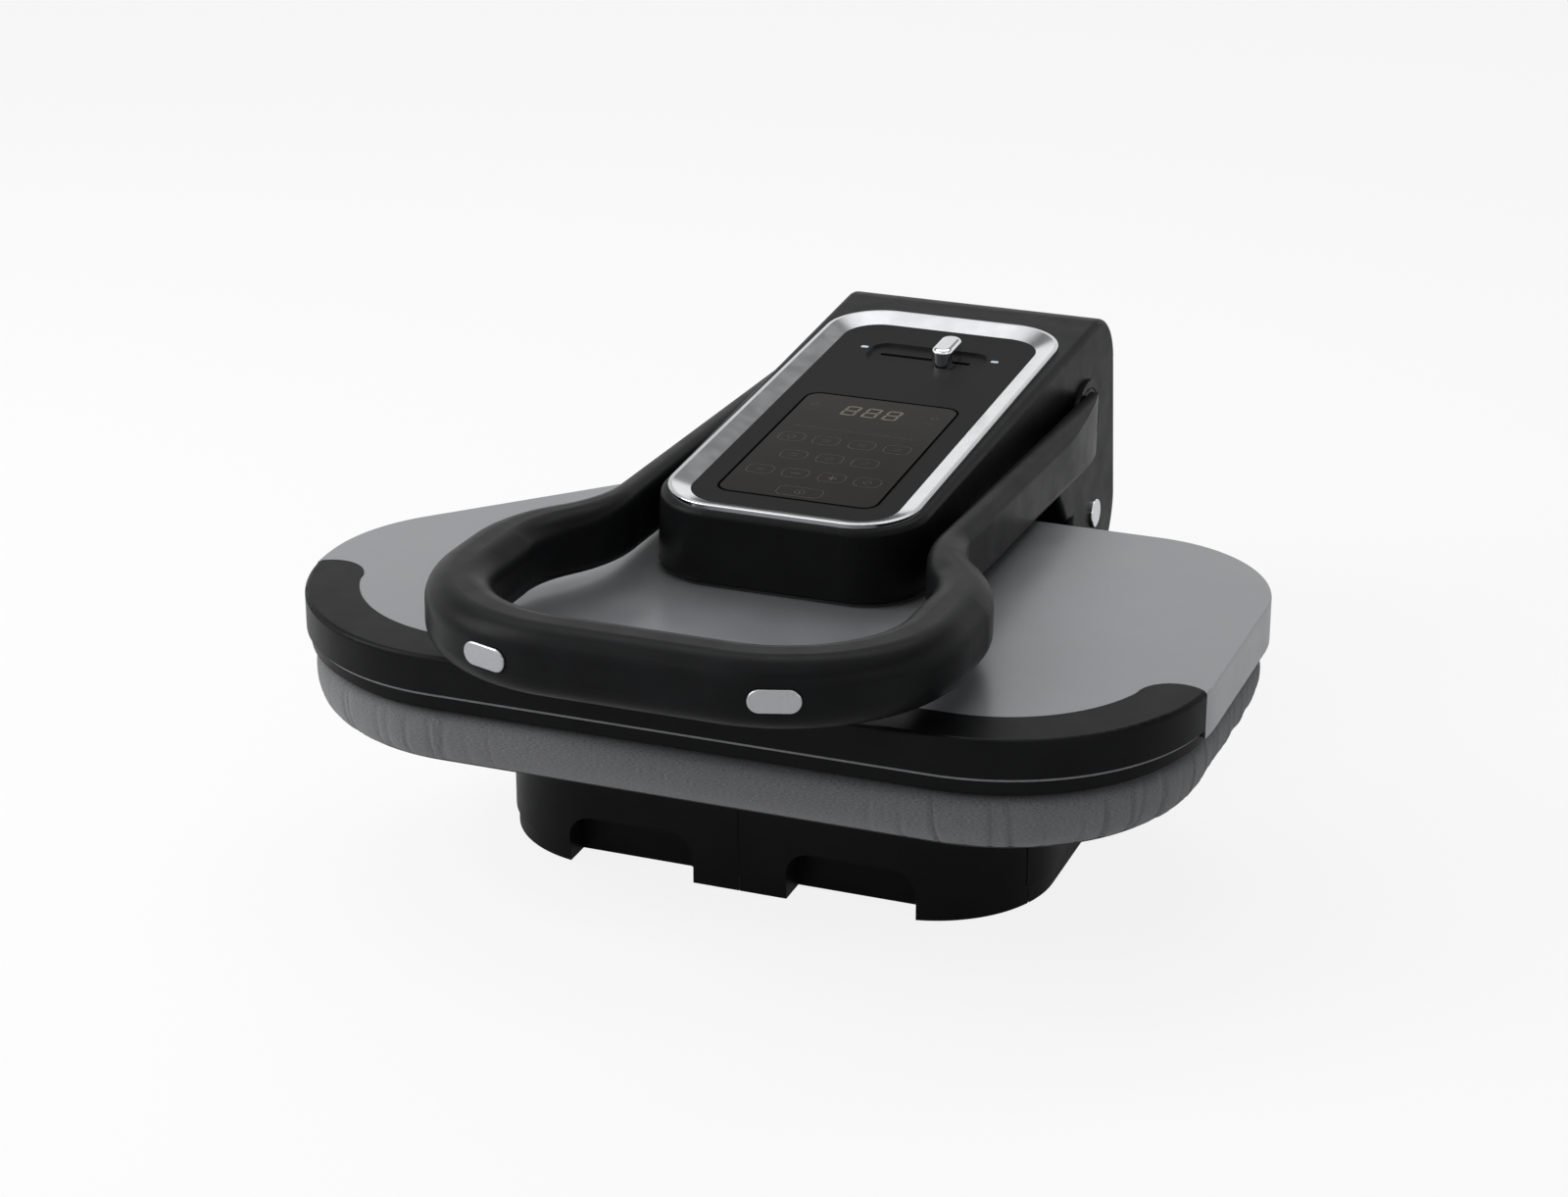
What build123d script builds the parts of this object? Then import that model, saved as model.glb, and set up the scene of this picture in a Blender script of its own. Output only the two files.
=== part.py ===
from build123d import *
from math import atan2, cos, degrees, hypot, radians, sin, tan
import os

# Steam ironing press, closed. Millimetres, +Z up, front towards -Y, table top at Z = 0.
# Lengths count Y from the middle of the pressing board; the pieces are written with the origin on the
# table under the middle of the whole press.

# Head and board outline, seen from above
head_half_width = 280.0
head_half_depth = 166.5
front_corner_radius = 128.0
rear_corner_radius = 90.0
nose_run = 150.0
nose_length = 160.0
nose_radius = 105.0
nose_rear_radius = 60.0

# Heights of the stack, from the table up
base_edge_z = 1.5
base_top_z = 100.0
board_rise = 2.0
board_height = 34.8
plate_gap = 0.4
plate_thickness = 8.0
head_wall_height = 28.0
head_top_z = 171.5
head_wall = 2.5
crease_radius = 1.2

# Front bumper, trim strip and plate carrier
bumper_width = 32.5
bumper_height = 22.5
bumper_wall = 3.0
bumper_proud = 0.6
lobe_angle = 20.0
lobe_rise = 21.0
lobe_outer_y = -58.0
trim_height = 2.2
trim_inset = 2.0
trim_width = 9.0
carrier_lower_inset = 7.5
carrier_upper_height = 6.6
carrier_lower_height = 4.2
carrier_ring_width = 12.0
plate_inset = 12.0

# Steam holes, heating element, steam chamber and thermostat
steam_hole_diameter = 4.0
steam_hole_pitch_x = 52.0
steam_hole_pitch_y = 46.0
steam_columns = 9
steam_rows = 5
element_diameter = 7.0
element_half_length = 190.0
element_pitch = 72.0
chamber_length = 120.0
chamber_width = 50.0
chamber_height = 14.0
thermostat_radius = 12.0
thermostat_height = 9.0

# Padded board
tray_thickness = 1.2
tray_inset = 16.0
cover_thickness = 1.2
cover_inset = 6.0
cover_tuck_inset = 13.0
cover_shoulder_inset = 8.5
cover_crown_inset = 42.0
cover_crown = 3.2
cover_tuck_height_share = 0.13
cover_widest_height_share = 0.5
cover_shoulder_height_share = 0.8

# Base housing
base_half_width = 174.0
base_front_y = -65.5
base_rear_y = 424.0
base_front_radius = 78.0
base_rear_radius = 40.0
base_wall = 3.0
base_deck_z = 50.0
deck_start_y = 236.0
step_start_y = 176.0
arch_inner_x = 30.0
arch_outer_x = 111.0
arch_height = 33.5
arch_radius = 15.0
arch_depth = 22.0
foot_ledge_height = 13.0
foot_ledge_inset = 1.6
floor_plate_z = 34.0
floor_plate_thickness = 3.0
foot_radius = 11.0
foot_height = 5.0
foot_side_inset = 29.0
foot_front_y = 4.0
foot_rear_y = 388.0
column_wall = 3.0

# Water tank in the right half of the base's front
tank_right_x = 166.0
tank_depth = 120.0
tank_wall = 2.4
tank_gap = 0.5
tank_cap_radius = 17.0
tank_cap_height = 9.0
valve_radius = 7.0
valve_length = 22.0
pump_length = 70.0
pump_radius = 20.0
tube_radius = 4.0

# Main hinge at the foot of the rear tower
hinge_y = 352.5
hinge_z = 108.0
hinge_pin_radius = 6.0
hinge_pin_reach = 23.0
running_gap = 0.05
bush_wall = 3.0
tower_foot_radius = 49.5
drum_radius = 44.0
drum_wall = 2.5
drum_half_width = 66.0
pedestal_half_depth = 24.0
cheek_x = 58.0
cheek_thickness = 4.0
cheek_radius = 20.0
beam_side_x = 71.0
beam_thickness = 3.0
cap_radius = 10.0
cap_proud = 1.6
spring_wire = 4.0
spring_turns = 3

# Arm housing: console and rear tower in one moulding
console_front_y = -12.0
console_bottom_z = 173.2
console_rake = 1.0
console_taper = 6.5
tower_rear_y = 402.0
tower_top_radius = 34.0
under_arm_z = 148.0
under_arm_start_y = 182.0
tower_front_y = 274.5
tower_neck_y = 292.5
tower_neck_z = 122.0
side_half_width = 94.8
side_draft = 2.0
housing_wall = 3.0
console_corner_radius = 43.0
rim_drop = 3.0
rim_depth = 10.0
top_edge_radius = 4.5
seal_inset = 3.0

# Chrome bezel and control panel, measured along the sloping deck
deck_front_y = -7.6
deck_front_z = 223.1
deck_slope = 2.9
bezel_width = 159.6
bezel_length = 345.2
bezel_radius = 38.0
bezel_rim = 2.5
bezel_band = 13.6
bezel_rear_band = 17.0
bezel_dish = 4.0
bezel_floor = 2.0
panel_fit = 0.15
panel_thickness = 2.2
panel_lip = 4.0
glass_width = 104.6
glass_length = 168.6
glass_start = 31.7
glass_radius = 10.5
glass_thickness = 1.6
slider_dish_width = 80.0
slider_dish_length = 34.0
slider_dish_depth = 1.6
slider_dish_at = 279.5
slot_width = 4.0
slot_length = 62.0
knob_width = 14.0
knob_length = 30.0
knob_height = 13.0
knob_at_x = 14.0
knob_travel = 30.0
knob_gap = 0.3
lens_spacing = 90.0
lens_width = 5.0
lens_length = 3.5
board_standoff = 7.0
circuit_thickness = 1.6
circuit_width = 96.0
circuit_length = 150.0

# Handle: a loop in front and two arms back to the hubs
handle_front_y = -212.0
handle_front_z = 206.0
handle_fall = 2.0
loop_half_width = 140.0
loop_corner_radius = 90.0
loop_thickness = 40.0
loop_height = 42.0
loop_edge_radius = 15.0
loop_rear_y = -88.0
waist_y = 18.0
arm_x = 104.8
arm_thickness = 18.0
arm_height = 41.0
arm_edge_radius = 8.0
arm_end_y = 331.0
arm_end_length = 110.0
handle_wall = 3.0
parting_drop = 7.0
hub_y = 333.0
hub_z = 176.0
hub_radius = 32.0
hub_thickness = 9.0
hub_gap = 0.4
hub_proud = 2.2
hub_groove_radius = 27.0
hub_groove_width = 1.2
hub_groove_depth = 0.8
hub_neck_gap = 0.6
shaft_radius = 8.0

# Pressure links between the handle shaft and the base
crank_y = 7.4
crank_z = -16.4
anchor_y = -0.5
anchor_z = -4.1
link_pin_radius = 3.0
link_eye_radius = 6.5
link_thickness = 4.0
link_x = 22.0
link_slack = 0.35
crank_thickness = 5.0

# Push buttons in the front of the handle
button_length = 30.0
button_height = 14.0
button_depth = 9.0
button_proud = 1.2
button_gap = 0.3
button_turn = 18.6
button_travel = 2.0
switch_length = 16.0
switch_height = 8.0
switch_depth = 8.0

# Screws, inlet and the overrun that takes a cut past a face
screw_radius = 2.0
screw_head_radius = 3.6
screw_head_height = 2.0
inlet_radius = 9.0
inlet_bore_radius = 3.6
overrun = 20.0

# Worked-out heights and places
head_wall_z = head_top_z - head_wall_height
board_z = base_top_z + board_rise
plate_z = board_z + board_height + plate_gap
bumper_z = head_top_z - bumper_height
trim_z = bumper_z - trim_height
carrier_z = trim_z - carrier_upper_height - carrier_lower_height
bezel_inner_radius = bezel_radius - bezel_band
opening_length = bezel_length - bezel_band - bezel_rear_band
floor_plate_low_z = floor_plate_z - floor_plate_thickness
middle_y = (handle_front_y - loop_thickness / 2 + base_rear_y + base_wall * 2) / 2
deck_rise = radians(deck_slope)
handle_drop = radians(handle_fall)
os.makedirs("parts", exist_ok=True)


def side_x(z):
    """Half-width of the drafted arm housing at a height."""
    return side_half_width - (z - hinge_z) * tan(radians(side_draft))


def pick(shape):
    """The one solid of a shape that holds a single solid."""
    return shape.solids()[0] if len(shape.solids()) == 1 else shape


def block(x0, x1, y0, y1, z0, z1):
    """A box between two corners."""
    centre = ((x0 + x1) / 2, (y0 + y1) / 2, (z0 + z1) / 2)
    return Pos(*centre) * Box(abs(x1 - x0), abs(y1 - y0), abs(z1 - z0))


def rod(radius, x0, x1, y, z):
    """A round bar along X."""
    return Pos((x0 + x1) / 2, y, z) * Rot(0, 90, 0) * Cylinder(radius, abs(x1 - x0))


def post(radius, x, y, z0, z1):
    """A round bar along Z."""
    return Pos(x, y, (z0 + z1) / 2) * Cylinder(radius, abs(z1 - z0))


def both_sides(shape):
    """A shape and its mirror image across the middle plane."""
    return [shape, mirror(shape, about=Plane.YZ)]


def side_plate(points, x0, x1):
    """A plate with a straight-sided outline in Y and Z, between two X planes."""
    face = make_face(Polyline(*[(0, y, z) for y, z in points], close=True))
    return Pos(x0, 0, 0) * extrude(face, amount=x1 - x0, dir=(1, 0, 0))


def save(name, solids):
    """Write one node, its origin moved back to the middle of the whole press."""
    group = solids if isinstance(solids, list) else [solids]
    moved = [pick(Pos(0, -middle_y, 0) * solid) for solid in group]
    whole = moved[0] if len(moved) == 1 else Compound(children=moved)
    export_step(pick(whole), f"parts/{name}.step")


# Head and board outline
def head_plan(inset=0.0):
    """The outline shared by head, plate and board: four corners and the cut-back nose."""
    right, front, rear = head_half_width, -head_half_depth, head_half_depth
    corners = [
        (right, front),
        (right, rear),
        (nose_run - right, rear),
        (-right, rear - nose_length),
        (-right, front),
    ]
    radii = [front_corner_radius, rear_corner_radius, nose_rear_radius, nose_radius, front_corner_radius]
    face = make_face(Polyline(*corners, close=True))
    for (x, y), radius in zip(corners, radii):
        corner = face.vertices().sort_by_distance((x, y, 0))[0]
        face = fillet(corner, radius)
    return offset(face, amount=-inset) if inset else face


def slab(inset, z0, z1):
    """The shared outline as a flat slab between two heights."""
    return Pos(0, 0, z0) * extrude(head_plan(inset), amount=z1 - z0)


def bumper_zone(grow=0.0):
    """Everything in front of the bumper's inner edge, as a flat face."""
    corner_x = head_half_width - front_corner_radius
    corner_y = front_corner_radius - head_half_depth
    inner = front_corner_radius - bumper_width + grow
    tip = radians(lobe_angle)
    end = (corner_x + inner * cos(tip), corner_y - inner * sin(tip))
    lobe_x = (end[0] + head_half_width) / 2
    lobe_top = (lobe_x, end[1] + lobe_rise - grow)
    outer = (head_half_width, lobe_outer_y - grow)
    far_x = head_half_width + overrun
    far_y = -head_half_depth - overrun
    arc = CenterArc((corner_x, corner_y), inner, -lobe_angle, lobe_angle - 90)
    lobe = ThreePointArc(end, lobe_top, outer)
    bottom = (corner_x, corner_y - inner)
    half = [
        Line((0, bottom[1]), bottom),
        arc,
        lobe,
        Line(outer, (far_x, outer[1])),
        Line((far_x, outer[1]), (far_x, far_y)),
        Line((far_x, far_y), (0, far_y)),
        Line((0, far_y), (0, bottom[1])),
    ]
    right = make_face(half)
    return right + mirror(right, about=Plane.YZ)


def head_shell():
    """Silver top shell: a crisp-edged tray with the bumper's place cut out of its front."""
    outer = slab(0, head_wall_z, head_top_z)
    outer = fillet(outer.edges().group_by(Axis.Z)[-1], crease_radius)
    inner = slab(head_wall, head_wall_z - overrun, head_top_z - head_wall)
    cut = Pos(0, 0, head_wall_z - overrun) * extrude(bumper_zone(), amount=head_wall_height * 2)
    return outer - inner - cut


def front_bumper():
    """Black wrap-around bumper with its two rounded lobes, hollow behind its skin."""
    top = head_top_z + bumper_proud
    body = slab(0, bumper_z, top)
    body = fillet(body.edges().group_by(Axis.Z)[-1], bumper_wall)
    zone = extrude(bumper_zone(panel_fit), amount=top + overrun)
    body = body & zone
    hollow = slab(bumper_wall, bumper_z - overrun, head_top_z - bumper_wall)
    zone_inside = extrude(bumper_zone(-bumper_wall), amount=top + overrun)
    return body - (hollow & zone_inside)


def trim_strip():
    """Pale strip that shows as a thin line under the bumper."""
    ring = slab(trim_inset, trim_z, bumper_z) - slab(trim_inset + trim_width, trim_z, bumper_z)
    zone = extrude(bumper_zone(panel_fit), amount=head_top_z)
    return ring & zone


def plate_carrier():
    """Black ring with two steps that carries the heating plate under the shell."""
    step_z = carrier_z + carrier_lower_height
    upper = slab(head_wall + panel_fit, step_z, trim_z)
    lower = slab(carrier_lower_inset, carrier_z, step_z)
    ledge_z = plate_z + plate_thickness
    bore = slab(plate_inset - panel_fit, carrier_z, ledge_z)
    window = slab(plate_inset + carrier_ring_width, ledge_z, trim_z)
    return upper + lower - bore - window


def steam_holes():
    """Grid of steam holes in the middle of the plate."""
    low = plate_z - overrun
    holes = []
    for column in range(steam_columns):
        for row in range(steam_rows):
            x = (column - (steam_columns - 1) / 2) * steam_hole_pitch_x
            y = (row - (steam_rows - 1) / 2) * steam_hole_pitch_y
            x_shift = steam_hole_pitch_x / 2 if row % 2 else 0
            inside = x + x_shift < head_half_width - nose_run / 2
            if inside and x + x_shift > nose_run / 2 - head_half_width:
                holes.append(post(steam_hole_diameter / 2, x + x_shift, y, low, plate_z + overrun))
    return holes


def heating_plate():
    """Cast aluminium plate with a rounded lower edge and the steam holes."""
    plate = slab(plate_inset, plate_z, plate_z + plate_thickness)
    plate = fillet(plate.edges().group_by(Axis.Z)[0], crease_radius)
    return plate - steam_holes()


def heating_element():
    """Hairpin tube clamped on top of the plate, flattened where it lies on it."""
    reach = element_half_length
    half = element_pitch / 2
    z = plate_z + plate_thickness + element_diameter / 2
    bend = ThreePointArc((reach, -half, z), (reach + half, 0, z), (reach, half, z))
    path = Line((-reach, -half, z), (reach, -half, z)) + bend + Line((reach, half, z), (-reach, half, z))
    profile = Plane(origin=(-reach, -half, z), z_dir=(1, 0, 0)) * Circle(element_diameter / 2)
    return sweep(profile, path=path)


def steam_chamber():
    """Closed box on the plate, between the two runs of the element."""
    z = plate_z + plate_thickness
    half_length, half_width = chamber_length / 2, chamber_width / 2
    return block(-half_length, half_length, -half_width, half_width, z, z + chamber_height)


def thermostat():
    """Round thermostat seated on the plate beside the steam chamber."""
    x = chamber_length / 2 + thermostat_radius * 2
    z = plate_z + plate_thickness
    body = post(thermostat_radius, x, 0, z, z + thermostat_height)
    stem = post(thermostat_radius / 2, x, 0, z + thermostat_height, z + thermostat_height * 1.4)
    return body + stem


# Padded board
def cover_layers(inward, lift, drop):
    """Outlines up the board's side: tucked in below, widest halfway, crowned on top."""
    top = board_z + board_height - drop
    low = board_z + lift
    rise = top - low - cover_crown
    return [
        (cover_tuck_inset + inward, low),
        (cover_inset + inward, low + rise * cover_tuck_height_share),
        (cover_inset - crease_radius + inward, low + rise * cover_widest_height_share),
        (cover_inset + inward, low + rise * cover_shoulder_height_share),
        (cover_shoulder_inset + inward, low + rise),
        (cover_crown_inset + inward, top),
    ]


def layered(layers):
    """A body lofted through flat outlines, one above the other."""
    faces = [Pos(0, 0, z) * head_plan(inset) for inset, z in layers]
    return loft(faces, ruled=True)


def board_tray():
    """Pressed steel tray on top of the base, which carries the foam."""
    turned_edge = board_rise + cover_thickness + tray_thickness
    tray = slab(tray_inset, base_top_z, base_top_z + turned_edge)
    return tray - slab(tray_inset + tray_thickness, base_top_z + tray_thickness, base_top_z + turned_edge)


def board_pad():
    """Crowned foam inside the cover, resting in the tray."""
    low = board_z - board_rise + tray_thickness
    body = layered(cover_layers(cover_thickness, cover_thickness, cover_thickness))
    plug = slab(tray_inset + tray_thickness + panel_fit, low, board_z + board_height / 2)
    turned_edge = board_rise + cover_thickness + tray_thickness
    seat = slab(tray_inset - panel_fit, base_top_z, base_top_z + turned_edge + panel_fit)
    return body - seat + plug


def board_cover():
    """Fabric skin drawn round the foam and tucked under its edge."""
    outer = layered(cover_layers(0, 0, 0))
    inner = layered(cover_layers(cover_thickness, cover_thickness, cover_thickness))
    opening = slab(tray_inset - panel_fit, board_z - overrun, board_z + overrun / 2)
    return outer - inner - (opening & (outer - inner))


# Base
def base_block(inset=0.0, drop=0.0):
    """Outer form of the base: rounded plan, high under the board, low under the tower."""
    width = base_half_width - inset
    front, rear = base_front_y + inset, base_rear_y - inset
    plan = make_face(Polyline((-width, front), (width, front), (width, rear), (-width, rear), close=True))
    plan = fillet(plan.vertices().group_by(Axis.Y)[0], base_front_radius - inset)
    plan = fillet(plan.vertices().group_by(Axis.Y)[-1], base_rear_radius - inset)
    body = extrude(plan, amount=base_top_z)
    top, deck = base_top_z - drop, base_deck_z - drop
    run = drop * (deck_start_y - step_start_y) / (base_top_z - base_deck_z) / 2
    outline = [
        (base_front_y - overrun, -overrun),
        (base_front_y - overrun, top),
        (step_start_y - run, top),
        (deck_start_y - run, deck),
        (base_rear_y + overrun, deck),
        (base_rear_y + overrun, -overrun),
    ]
    return body & side_plate(outline, -width - overrun, width + overrun)


def arches(depth, grow=0.0):
    """The two arched finger recesses in the front, to a depth behind its face."""
    width = arch_outer_x - arch_inner_x + grow * 2
    face = Rectangle(width, (arch_height + grow) * 2)
    face = fillet(face.vertices().group_by(Axis.Y)[-1], arch_radius + grow)
    middle = (arch_inner_x + arch_outer_x) / 2
    place = Plane(origin=(middle, base_front_y + depth, 0), x_dir=(1, 0, 0), z_dir=(0, -1, 0))
    return both_sides(place * extrude(face, amount=depth + overrun))


def foot_places():
    """Centres of the rubber feet."""
    half = base_half_width - foot_side_inset
    return [(-half, foot_front_y), (half, foot_front_y), (-half, foot_rear_y), (half, foot_rear_y)]


def tank_front(gap=0.0):
    """The stretch of the base's front that belongs to the tank, grown by a gap."""
    rear = base_front_y + base_front_radius
    return block(-gap, tank_right_x + gap, base_front_y - overrun, rear + gap, -overrun, base_top_z + overrun)


def tank_room(gap=0.0):
    """The tank's body behind its front panel, grown by a gap."""
    rear = base_front_y + tank_depth + gap
    low = floor_plate_z + tank_gap - gap
    high = base_top_z - base_wall - tank_gap + gap
    left = base_wall + tank_gap - gap
    right = tank_right_x - base_wall + gap
    return block(left, right, base_front_y + base_wall, rear, low, high)


def base_shell():
    """Base skin before the tank's place is cut out of it."""
    body = base_block()
    ledge = base_block() - base_block(foot_ledge_inset)
    ledge_low = block(-head_half_width, head_half_width, base_front_y - overrun, base_rear_y + overrun,
                      -overrun, foot_ledge_height)
    body = body - (ledge & ledge_low)
    floor = block(-head_half_width, head_half_width, base_front_y - overrun, base_rear_y + overrun,
                  -overrun, base_edge_z)
    recess = arches(arch_depth + base_wall, base_wall)
    walls = [body & wall for wall in recess]
    return body - base_block(base_wall, base_wall) + walls - floor - arches(arch_depth)


def base_housing():
    """Black moulded base: arches, feet and the pedestal's opening in its rear deck."""
    tank_top = base_top_z - base_wall - tank_gap
    skin = base_shell()
    front = tank_front(tank_gap) & block(-tank_gap, tank_right_x + tank_gap, base_front_y - overrun,
                                         base_front_y + base_front_radius, -overrun, tank_top)
    skin = skin - front
    half = drum_half_width + panel_fit
    reach = pedestal_half_depth + panel_fit
    opening = block(-half, half, hinge_y - reach, hinge_y + reach, floor_plate_z, base_deck_z + overrun)
    inlet = Pos(-base_half_width / 2, base_rear_y, base_deck_z / 2 + floor_plate_thickness)
    inlet_hole = inlet * Rot(90, 0, 0) * Cylinder(inlet_radius - bush_wall, overrun)
    return skin - opening - inlet_hole


def water_tank():
    """Pull-out tank: the right half of the base's front with a box behind it."""
    tank_top = base_top_z - base_wall - tank_gap * 2
    panel = base_shell() & block(0, tank_right_x, base_front_y - overrun,
                                 base_front_y + base_front_radius - tank_gap, -overrun, tank_top)
    body = tank_room() & base_block(base_wall)
    hollow = body.bounding_box()
    inner = block(hollow.min.X + tank_wall, hollow.max.X - tank_wall, base_front_y + base_wall + tank_wall,
                  hollow.max.Y - tank_wall, hollow.min.Z + tank_wall, hollow.max.Z - tank_wall)
    inner = inner & base_block(base_wall + tank_wall)
    fill_x = (hollow.min.X + hollow.max.X) / 2
    fill_y = base_front_y + tank_depth / 2
    fill = post(tank_cap_radius - tank_wall, fill_x, fill_y, hollow.max.Z - overrun, hollow.max.Z + overrun)
    valve_z = hollow.min.Z + valve_radius * 2
    mouth_y = hollow.max.Y
    mouth = Pos(fill_x, mouth_y, valve_z) * Rot(90, 0, 0) * Cylinder(valve_radius - tank_wall, overrun)
    return panel + (body - inner - fill - mouth)


def tank_cap():
    """Round filler cap pressed into the tank's top, with a finger bar."""
    hollow = (tank_room() & base_block(base_wall)).bounding_box()
    x = (hollow.min.X + hollow.max.X) / 2
    y = base_front_y + tank_depth / 2
    top = hollow.max.Z
    plug = post(tank_cap_radius - tank_wall - panel_fit, x, y, top - tank_wall * 2, top)
    grip = block(x - tank_cap_radius / 2, x + tank_cap_radius / 2, y - tank_wall, y + tank_wall,
                 top - tank_cap_height, top - tank_wall * 2)
    return plug + grip


def tank_valve():
    """Valve seat on the floor plate that the tank's mouth slides up to."""
    hollow = (tank_room() & base_block(base_wall)).bounding_box()
    x = (hollow.min.X + hollow.max.X) / 2
    z = hollow.min.Z + valve_radius * 2
    start = hollow.max.Y + tank_gap
    body = Pos(x, start + valve_length / 2, z) * Rot(90, 0, 0) * Cylinder(valve_radius, valve_length)
    stand = block(x - valve_radius, x + valve_radius, start + valve_length / 4, start + valve_length * 3 / 4,
                  floor_plate_z, z)
    return body + stand


def pump_centre():
    """Where the pump's axis lies: in line with the valve, flat on the floor plate."""
    hollow = (tank_room() & base_block(base_wall)).bounding_box()
    x = (hollow.min.X + hollow.max.X) / 2
    return x, hollow.max.Y + tank_gap + valve_length + pump_length / 2, floor_plate_z + pump_radius


def water_pump():
    """Round pump on its cradle, behind the valve."""
    x, y, z = pump_centre()
    body = Pos(x, y, z) * Rot(90, 0, 0) * Cylinder(pump_radius, pump_length)
    half = pump_length / 3
    cradle = block(x - pump_radius, x + pump_radius, y - half, y + half, floor_plate_z, z)
    return body + cradle


def water_tube():
    """Short tube from the pump towards the hinge."""
    x, y, z = pump_centre()
    start = (x, y + pump_length / 2, z)
    knee = (x, start[1] + tube_radius * 3, z)
    turn = RadiusArc(knee, (x - tube_radius * 6, knee[1] + tube_radius * 6, z), -tube_radius * 6)
    path = Line(start, knee) + turn
    profile = Plane(origin=start, z_dir=(0, 1, 0)) * Circle(tube_radius)
    return sweep(profile, path=path)


def base_cover():
    """Floor plate of the base, with a hollow column down to each rubber foot."""
    plate = base_block(base_wall + panel_fit, base_wall)
    band = block(-head_half_width, head_half_width, base_front_y, base_rear_y, floor_plate_low_z, floor_plate_z)
    plate = plate & band
    plate = plate - arch_roof()
    for x, y in foot_places():
        column = post(foot_radius + column_wall, x, y, foot_height, floor_plate_low_z)
        bore = post(foot_radius - column_wall, x, y, 0, floor_plate_low_z - column_wall)
        plate = plate + (column - bore)
    return plate


def arch_roof():
    """Room at the plate's front edge for the walls of the finger recesses, as a cutter."""
    room = base_front_y + arch_depth + base_wall + panel_fit
    return block(-head_half_width, head_half_width, base_front_y - overrun, room, 0, base_top_z)


def rubber_feet():
    """Four round rubber feet with a stem pressed into each column."""
    feet = []
    for x, y in foot_places():
        pad = post(foot_radius, x, y, 0, foot_height)
        stem = post(foot_radius - column_wall, x, y, foot_height, foot_height * 2)
        feet.append(pad + stem)
    return feet


def power_inlet():
    """Empty gland in the base's rear wall, where the mains lead enters."""
    at = Pos(-base_half_width / 2, base_rear_y, base_deck_z / 2 + floor_plate_thickness)
    neck = at * Rot(90, 0, 0) * Cylinder(inlet_radius - bush_wall - panel_fit, base_wall * 2)
    flange_y = base_rear_y + base_wall
    flange = Pos(-base_half_width / 2, flange_y, base_deck_z / 2 + floor_plate_thickness)
    flange = flange * Rot(90, 0, 0) * Cylinder(inlet_radius, base_wall * 2)
    flange = flange & block(-base_half_width, 0, base_rear_y, base_rear_y + overrun, 0, base_top_z)
    bore = at * Rot(90, 0, 0) * Cylinder(inlet_bore_radius, overrun * 2)
    return neck + flange - bore


# Main hinge
def hinge_bracket():
    """Two steel cheeks on a foot plate, which carry the hinge bushes."""
    reach = cheek_radius * 2
    foot = block(-cheek_x - cheek_thickness, cheek_x + cheek_thickness, hinge_y - reach, hinge_y + reach,
                 floor_plate_z, floor_plate_z + cheek_thickness)
    wide = pedestal_half_depth - drum_wall - panel_fit
    cheek = side_plate(
        [(hinge_y - wide, floor_plate_z), (hinge_y + wide, floor_plate_z),
         (hinge_y + cheek_radius, hinge_z), (hinge_y - cheek_radius, hinge_z)],
        cheek_x, cheek_x + cheek_thickness)
    cheek = cheek + rod(cheek_radius, cheek_x, cheek_x + cheek_thickness, hinge_y, hinge_z)
    eye = rod(hinge_pin_radius + bush_wall, cheek_x - overrun, cheek_x + overrun, hinge_y, hinge_z)
    pin_y, pin_z = hinge_y + anchor_y, hinge_z + anchor_z
    half = link_x + link_thickness * 2
    lug = block(link_x + link_thickness + panel_fit, half, pin_y - link_eye_radius, pin_y + link_eye_radius,
                floor_plate_z, pin_z)
    lug = lug + rod(link_eye_radius, link_x + link_thickness + panel_fit, half, pin_y, pin_z)
    lug = lug - rod(link_pin_radius, 0, half + overrun, pin_y, pin_z)
    return foot + both_sides(cheek - eye) + both_sides(lug)


def anchor_pins():
    """Pins in the bracket's lugs that the lower eyes of the links go round."""
    pin_y, pin_z = hinge_y + anchor_y, hinge_z + anchor_z
    start = link_x - link_thickness / 2
    return both_sides(rod(link_pin_radius, start, link_x + link_thickness * 2, pin_y, pin_z))


def hinge_bushes():
    """Bushes in the cheeks that the hinge pins turn in."""
    outer = rod(hinge_pin_radius + bush_wall, cheek_x, cheek_x + cheek_thickness, hinge_y, hinge_z)
    bore = rod(hinge_pin_radius + running_gap, 0, hub_y, hinge_y, hinge_z)
    return both_sides(outer - bore)


def hinge_drum():
    """Moulded drum round the hinge on a narrower pedestal, which stands up through the rear deck."""
    half = drum_half_width
    drum = rod(drum_radius, -half, half, hinge_y, hinge_z)
    pedestal = block(-half, half, hinge_y - pedestal_half_depth, hinge_y + pedestal_half_depth,
                     floor_plate_z + cheek_thickness, hinge_z)
    inner = rod(drum_radius - drum_wall, -half - overrun, half + overrun, hinge_y, hinge_z)
    reach = pedestal_half_depth - drum_wall
    well = block(-half - overrun, half + overrun, hinge_y - reach, hinge_y + reach, 0, hinge_z)
    shell = drum + pedestal - inner - well
    reach = link_thickness * 3
    slot = block(link_x - reach / 2, link_x + reach, hinge_y - cheek_radius, hinge_y + drum_radius * 2,
                 hinge_z, hinge_z + drum_radius * 2)
    return shell - both_sides(slot)


def hinge_pins():
    """Stub pins pressed into the tower's steel sides, on the main hinge's axis."""
    end = side_x(hinge_z) - housing_wall
    return both_sides(rod(hinge_pin_radius, cheek_x - hinge_pin_reach, end, hinge_y, hinge_z))


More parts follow.
